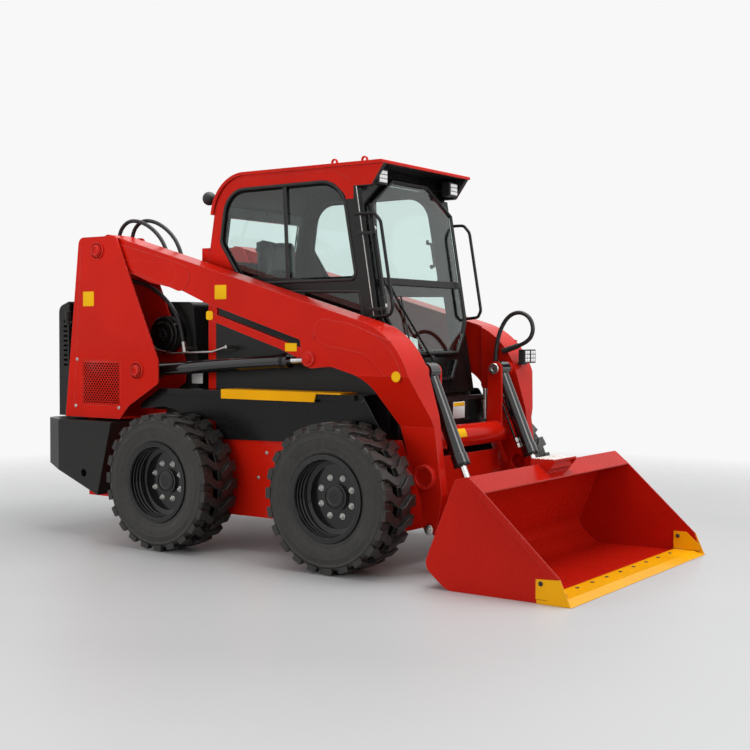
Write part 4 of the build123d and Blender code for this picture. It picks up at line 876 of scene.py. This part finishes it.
rod("wiper_arm", "front_door", black,
    [ahead(-347, 1483, 62), ahead(-300, 1400, 66), ahead(-60, 1110, 66), ahead(-17, 1080, 60)], 6, 30)
blade = [ahead(-250, 1420, 60), ahead(-214, 1060, 60)]
rod("wiper_blade", "front_door", seal_rubber, blade, 5)
bolts("wiper_hub", [(ahead(-17, 1080, 56), AHEAD)], 16, "front_door", black, "black_plastic")
rod("door_pull", "front_door", black,
    [ahead(130, 1740, 38), ahead(150, 1728, 20), ahead(196, 1728, 20), ahead(200, 1600, 20),
     ahead(156, 1600, 20), ahead(136, 1588, 38)], 8, 26)
bolts("door_hinge_bolts", [(ahead(-432, z, 72), AHEAD) for z in (1362, 1772)], 11, "front_door")

# ---------------------------------------------------------------- bucket edges
SHELL_HALF, CHEEK_FACE = 824, 817
cheek = [(2351, 20), (2351, 117), (2424, 117), (2500, 52), (2500, 20)]
count = len(cheek)
for side, sign in SIDES:
    points = [(x, sign * y, z) for y in (SHELL_HALF, CHEEK_FACE) for x, z in cheek]
    faces = [tuple(range(count)), tuple(range(count, 2 * count))]
    faces += [(k, (k + 1) % count, count + (k + 1) % count, count + k) for k in range(count)]
    piece_of("inner_cheek_" + side, points, faces, "bucket", yellow, "yellow_paint")
    bolts("cheek_bolts_" + side,
          [((2376, sign * CHEEK_FACE, 92), (0, -sign, 0)), ((2376, sign * 840, 92), (0, sign, 0))],
          9, "bucket", charcoal, "charcoal_paint")
    rim = strip([Vector((2060, 468)), Vector((2455, 112))], False,
                [(-11, -1), (-11, 4), (11, 4), (11, -1)], on_side(sign * 832))
    piece_of("bucket_side_rim_" + side, *rim, "bucket", bucket_red, "red_paint")
plough_bolts = [turned((2392, y, 19.5), (0, 0, 1), [(-2, 10), (1.2, 10), (1.6, 8), (0.2, 7)], 20)
                for y in range(-660, 661, 165)]
piece_of("edge_bolts", *joined(plough_bolts), "bucket", charcoal, "charcoal_paint")

# ---------------------------------------------------------------- cylinders
TILT_TOP, TILT_WAY, TILT_Y = (1482, 1020), (0.3927, -0.9197), 375.3
LIFT_WAY, LIFT_Y = (0.9976, 0, 0.0680), 570.3
PIN_END = 309.3
for side, sign in SIDES:
    def beside(along, out, across=0.0):
        """A place along a tilt cylinder: its distance from the pin, in front of it, and sideways."""
        return (TILT_TOP[0] + TILT_WAY[0] * along - TILT_WAY[1] * out, sign * TILT_Y + across,
                TILT_TOP[1] + TILT_WAY[1] * along + TILT_WAY[0] * out)

    way = (TILT_WAY[0], 0, TILT_WAY[1])
    gland = turned(beside(508, 0), way, [(0, 45), (4, 46), (12, 46), (16, 42), (16, 22), (12, 20)], 36)
    piece_of("tilt_gland_" + side, *gland, "tilt_barrels", black, "black_paint")
    inward = -sign
    rod("tilt_pipe_" + side, "tilt_barrels", black,
        [beside(90, -30, inward * 30), beside(110, -38, inward * 44), beside(430, -38, inward * 44),
         beside(462, -24, inward * 28)], 6, 18)
    nut = [(-14, 11), (-10, 13), (10, 13), (14, 11)]
    fittings = [turned(beside(along, -34, inward * 38), way, nut, 6) for along in (118, 150, 420, 452)]
    piece_of("tilt_fittings_" + side, *joined(fittings), "tilt_barrels", zinc, "zinc_metal", 25)
    cap = turned((TILT_TOP[0], sign * PIN_END, TILT_TOP[1]), (0, inward, 0),
                 [(-1, 31), (5, 31), (8, 28), (8, 14), (4, 12), (4, 1)], 32)
    piece_of("tilt_pin_" + side, *cap, "lift_arm", zinc, "zinc_metal")
    collars = [turned((x, sign * LIFT_Y, z), LIFT_WAY, [(-4, 43), (0, 44), (22, 44), (26, 40)], 36)
               for x, z in ((-270, 1001), (670, 1065))]
    piece_of("lift_collars_" + side, *joined(collars), "lift_barrels", black, "black_paint")


# ---------------------------------------------------------------- seat
SEAM_DEPTH, SEAM_HALF_WIDTH = 0.005, 0.006


def cushion(name, corners, half, cap, seams):
    """A pad blown up as cloth from a slightly smaller block, then sewn along its channels.

    The cloth moves no point further than cap from the block.
    """
    mesh = bpy.data.meshes.new(name)
    points = [at(x, side * half, z) for side in (-1, 1) for x, z in corners]
    count = len(corners)
    faces = [tuple(range(count)), tuple(range(2 * count - 1, count - 1, -1))]
    faces += [(i, (i + 1) % count, count + (i + 1) % count, count + i) for i in range(count)]
    mesh.from_pydata(points, [], faces)
    pad = bpy.data.objects.new(name, mesh)
    scene.collection.objects.link(pad)
    bpy.context.view_layer.objects.active = pad
    bpy.ops.object.select_all(action="DESELECT")
    pad.select_set(True)
    remesh = pad.modifiers.new("remesh", "REMESH")
    remesh.mode = "VOXEL"
    remesh.voxel_size = 0.010
    bpy.ops.object.modifier_apply(modifier=remesh.name)
    before = [vertex.co.copy() for vertex in pad.data.vertices]
    cloth = pad.modifiers.new("cloth", "CLOTH")
    cloth.settings.quality = 3
    cloth.settings.use_pressure = True
    cloth.settings.uniform_pressure_force = 4
    cloth.settings.effector_weights.gravity = 0
    for number in range(1, 21):
        scene.frame_set(number)
    bpy.ops.object.modifier_apply(modifier=cloth.name)
    scene.frame_set(1)
    for vertex, old in zip(pad.data.vertices, before):
        move = vertex.co - old
        if move.length > cap:
            vertex.co = old + move * (cap / move.length)
    finer = pad.modifiers.new("finer", "SUBSURF")
    finer.levels = 1
    bpy.ops.object.modifier_apply(modifier=finer.name)
    for vertex in pad.data.vertices:
        near = min(abs(vertex.co.y - seam) for seam in seams)
        vertex.co -= vertex.normal * SEAM_DEPTH * math.exp(-(near / SEAM_HALF_WIDTH) ** 2)
    pad.data.materials.append(seat_vinyl)
    pad.data.shade_smooth()
    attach(pad, "machine")
    return pad


CUSHION = [(190, 968), (190, 1048), (240, 1062), (700, 1076), (750, 1060), (752, 970)]
BACK = [(152, 1052), (108, 1480), (122, 1520), (185, 1532), (212, 1500), (278, 1052)]
HEAD_REST = [(122, 1556), (98, 1718), (110, 1766), (168, 1772), (196, 1728), (196, 1556)]
pads = [cushion("seat_cushion", CUSHION, 218, 0.014, (-0.12, 0.12)),
        cushion("seat_back", BACK, 213, 0.014, (-0.12, 0.12)),
        cushion("head_rest", HEAD_REST, 140, 0.012, (-0.085, 0.085))]
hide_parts("seat")


# ---------------------------------------------------------------- floor, backdrop and light
def floor_finish():
    """Pale studio floor that thins out to the backdrop far from the machine."""
    finish = Finish("studio_floor")
    tone = finish.mix(finish.noise(0.8, 5), (0.48, 0.485, 0.49), (0.54, 0.545, 0.55))
    pores = finish.bump(finish.noise(90, 4), 0.0005, 0.2)
    solid = finish.surface(Base_Color=tone, Roughness=0.42, Normal=pores, Specular_IOR_Level=0.3)
    middle = finish.node("VectorMath", operation="LENGTH")
    finish.put(middle.inputs[0], finish.place)
    away = finish.ramp(middle.outputs["Value"], 2.6, 6.2)
    path = finish.node("LightPath")
    seen = finish.math("MAXIMUM", path.outputs["Is Camera Ray"], path.outputs["Is Transmission Ray"])
    clear = finish.node("BsdfTransparent").outputs[0]
    return finish.done(finish.blend(finish.math("MULTIPLY", away, seen), solid, clear))


floor_mesh = bpy.data.meshes.new("floor")
floor_mesh.from_pydata([(-60, -60, 0), (60, -60, 0), (60, 60, 0), (-60, 60, 0)], [], [(0, 1, 2, 3)])
floor_mesh.materials.append(floor_finish())
floor = bpy.data.objects.new("floor", floor_mesh)
floor.location = (0, 0, -0.0005)
scene.collection.objects.link(floor)

world = bpy.data.worlds.new("studio")
world.use_nodes = True
scene.world = world
sky = world.node_tree
sky.nodes.clear()
world_output = sky.nodes.new("ShaderNodeOutputWorld")
light_path = sky.nodes.new("ShaderNodeLightPath")


def either(first, second):
    """1 where one of two tests is."""
    new = sky.nodes.new("ShaderNodeMath")
    new.operation = "MAXIMUM"
    sky.links.new(first, new.inputs[0])
    sky.links.new(second, new.inputs[1])
    return new.outputs[0]


def backdrop(grey, strength):
    new = sky.nodes.new("ShaderNodeBackground")
    new.inputs["Color"].default_value = (grey, grey, grey, 1)
    new.inputs["Strength"].default_value = strength
    return new.outputs[0]


seen = either(either(light_path.outputs["Is Camera Ray"], light_path.outputs["Is Transmission Ray"]),
              light_path.outputs["Is Glossy Ray"])
choose = sky.nodes.new("ShaderNodeMixShader")
sky.links.new(seen, choose.inputs["Fac"])
sky.links.new(backdrop(1, 0.42), choose.inputs[1])
sky.links.new(backdrop(0.94, 1.0), choose.inputs[2])
sky.links.new(choose.outputs[0], world_output.inputs["Surface"])


def soft_light(name, place, target, width, height, power):
    data = bpy.data.lights.new(name, "AREA")
    data.shape = "RECTANGLE"
    data.size = width
    data.size_y = height
    data.energy = power
    lamp = bpy.data.objects.new(name, data)
    lamp.location = place
    way = Vector(target) - Vector(place)
    lamp.rotation_euler = way.to_track_quat("-Z", "Y").to_euler()
    scene.collection.objects.link(lamp)
    return lamp


soft_light("overhead", (0.4, 0.6, 5.2), (0.2, 0, 0.6), 5.5, 4.0, 270)
soft_light("front_key", (6.0, -0.8, 3.0), (0.6, 0, 0.9), 2.6, 3.0, 95)
side_fill = soft_light("side_fill", (-2.8, -7.0, 1.9), (0.0, 0, 1.1), 4.5, 2.2, 210)
side_fill.visible_glossy = False
side_fill.visible_transmission = False
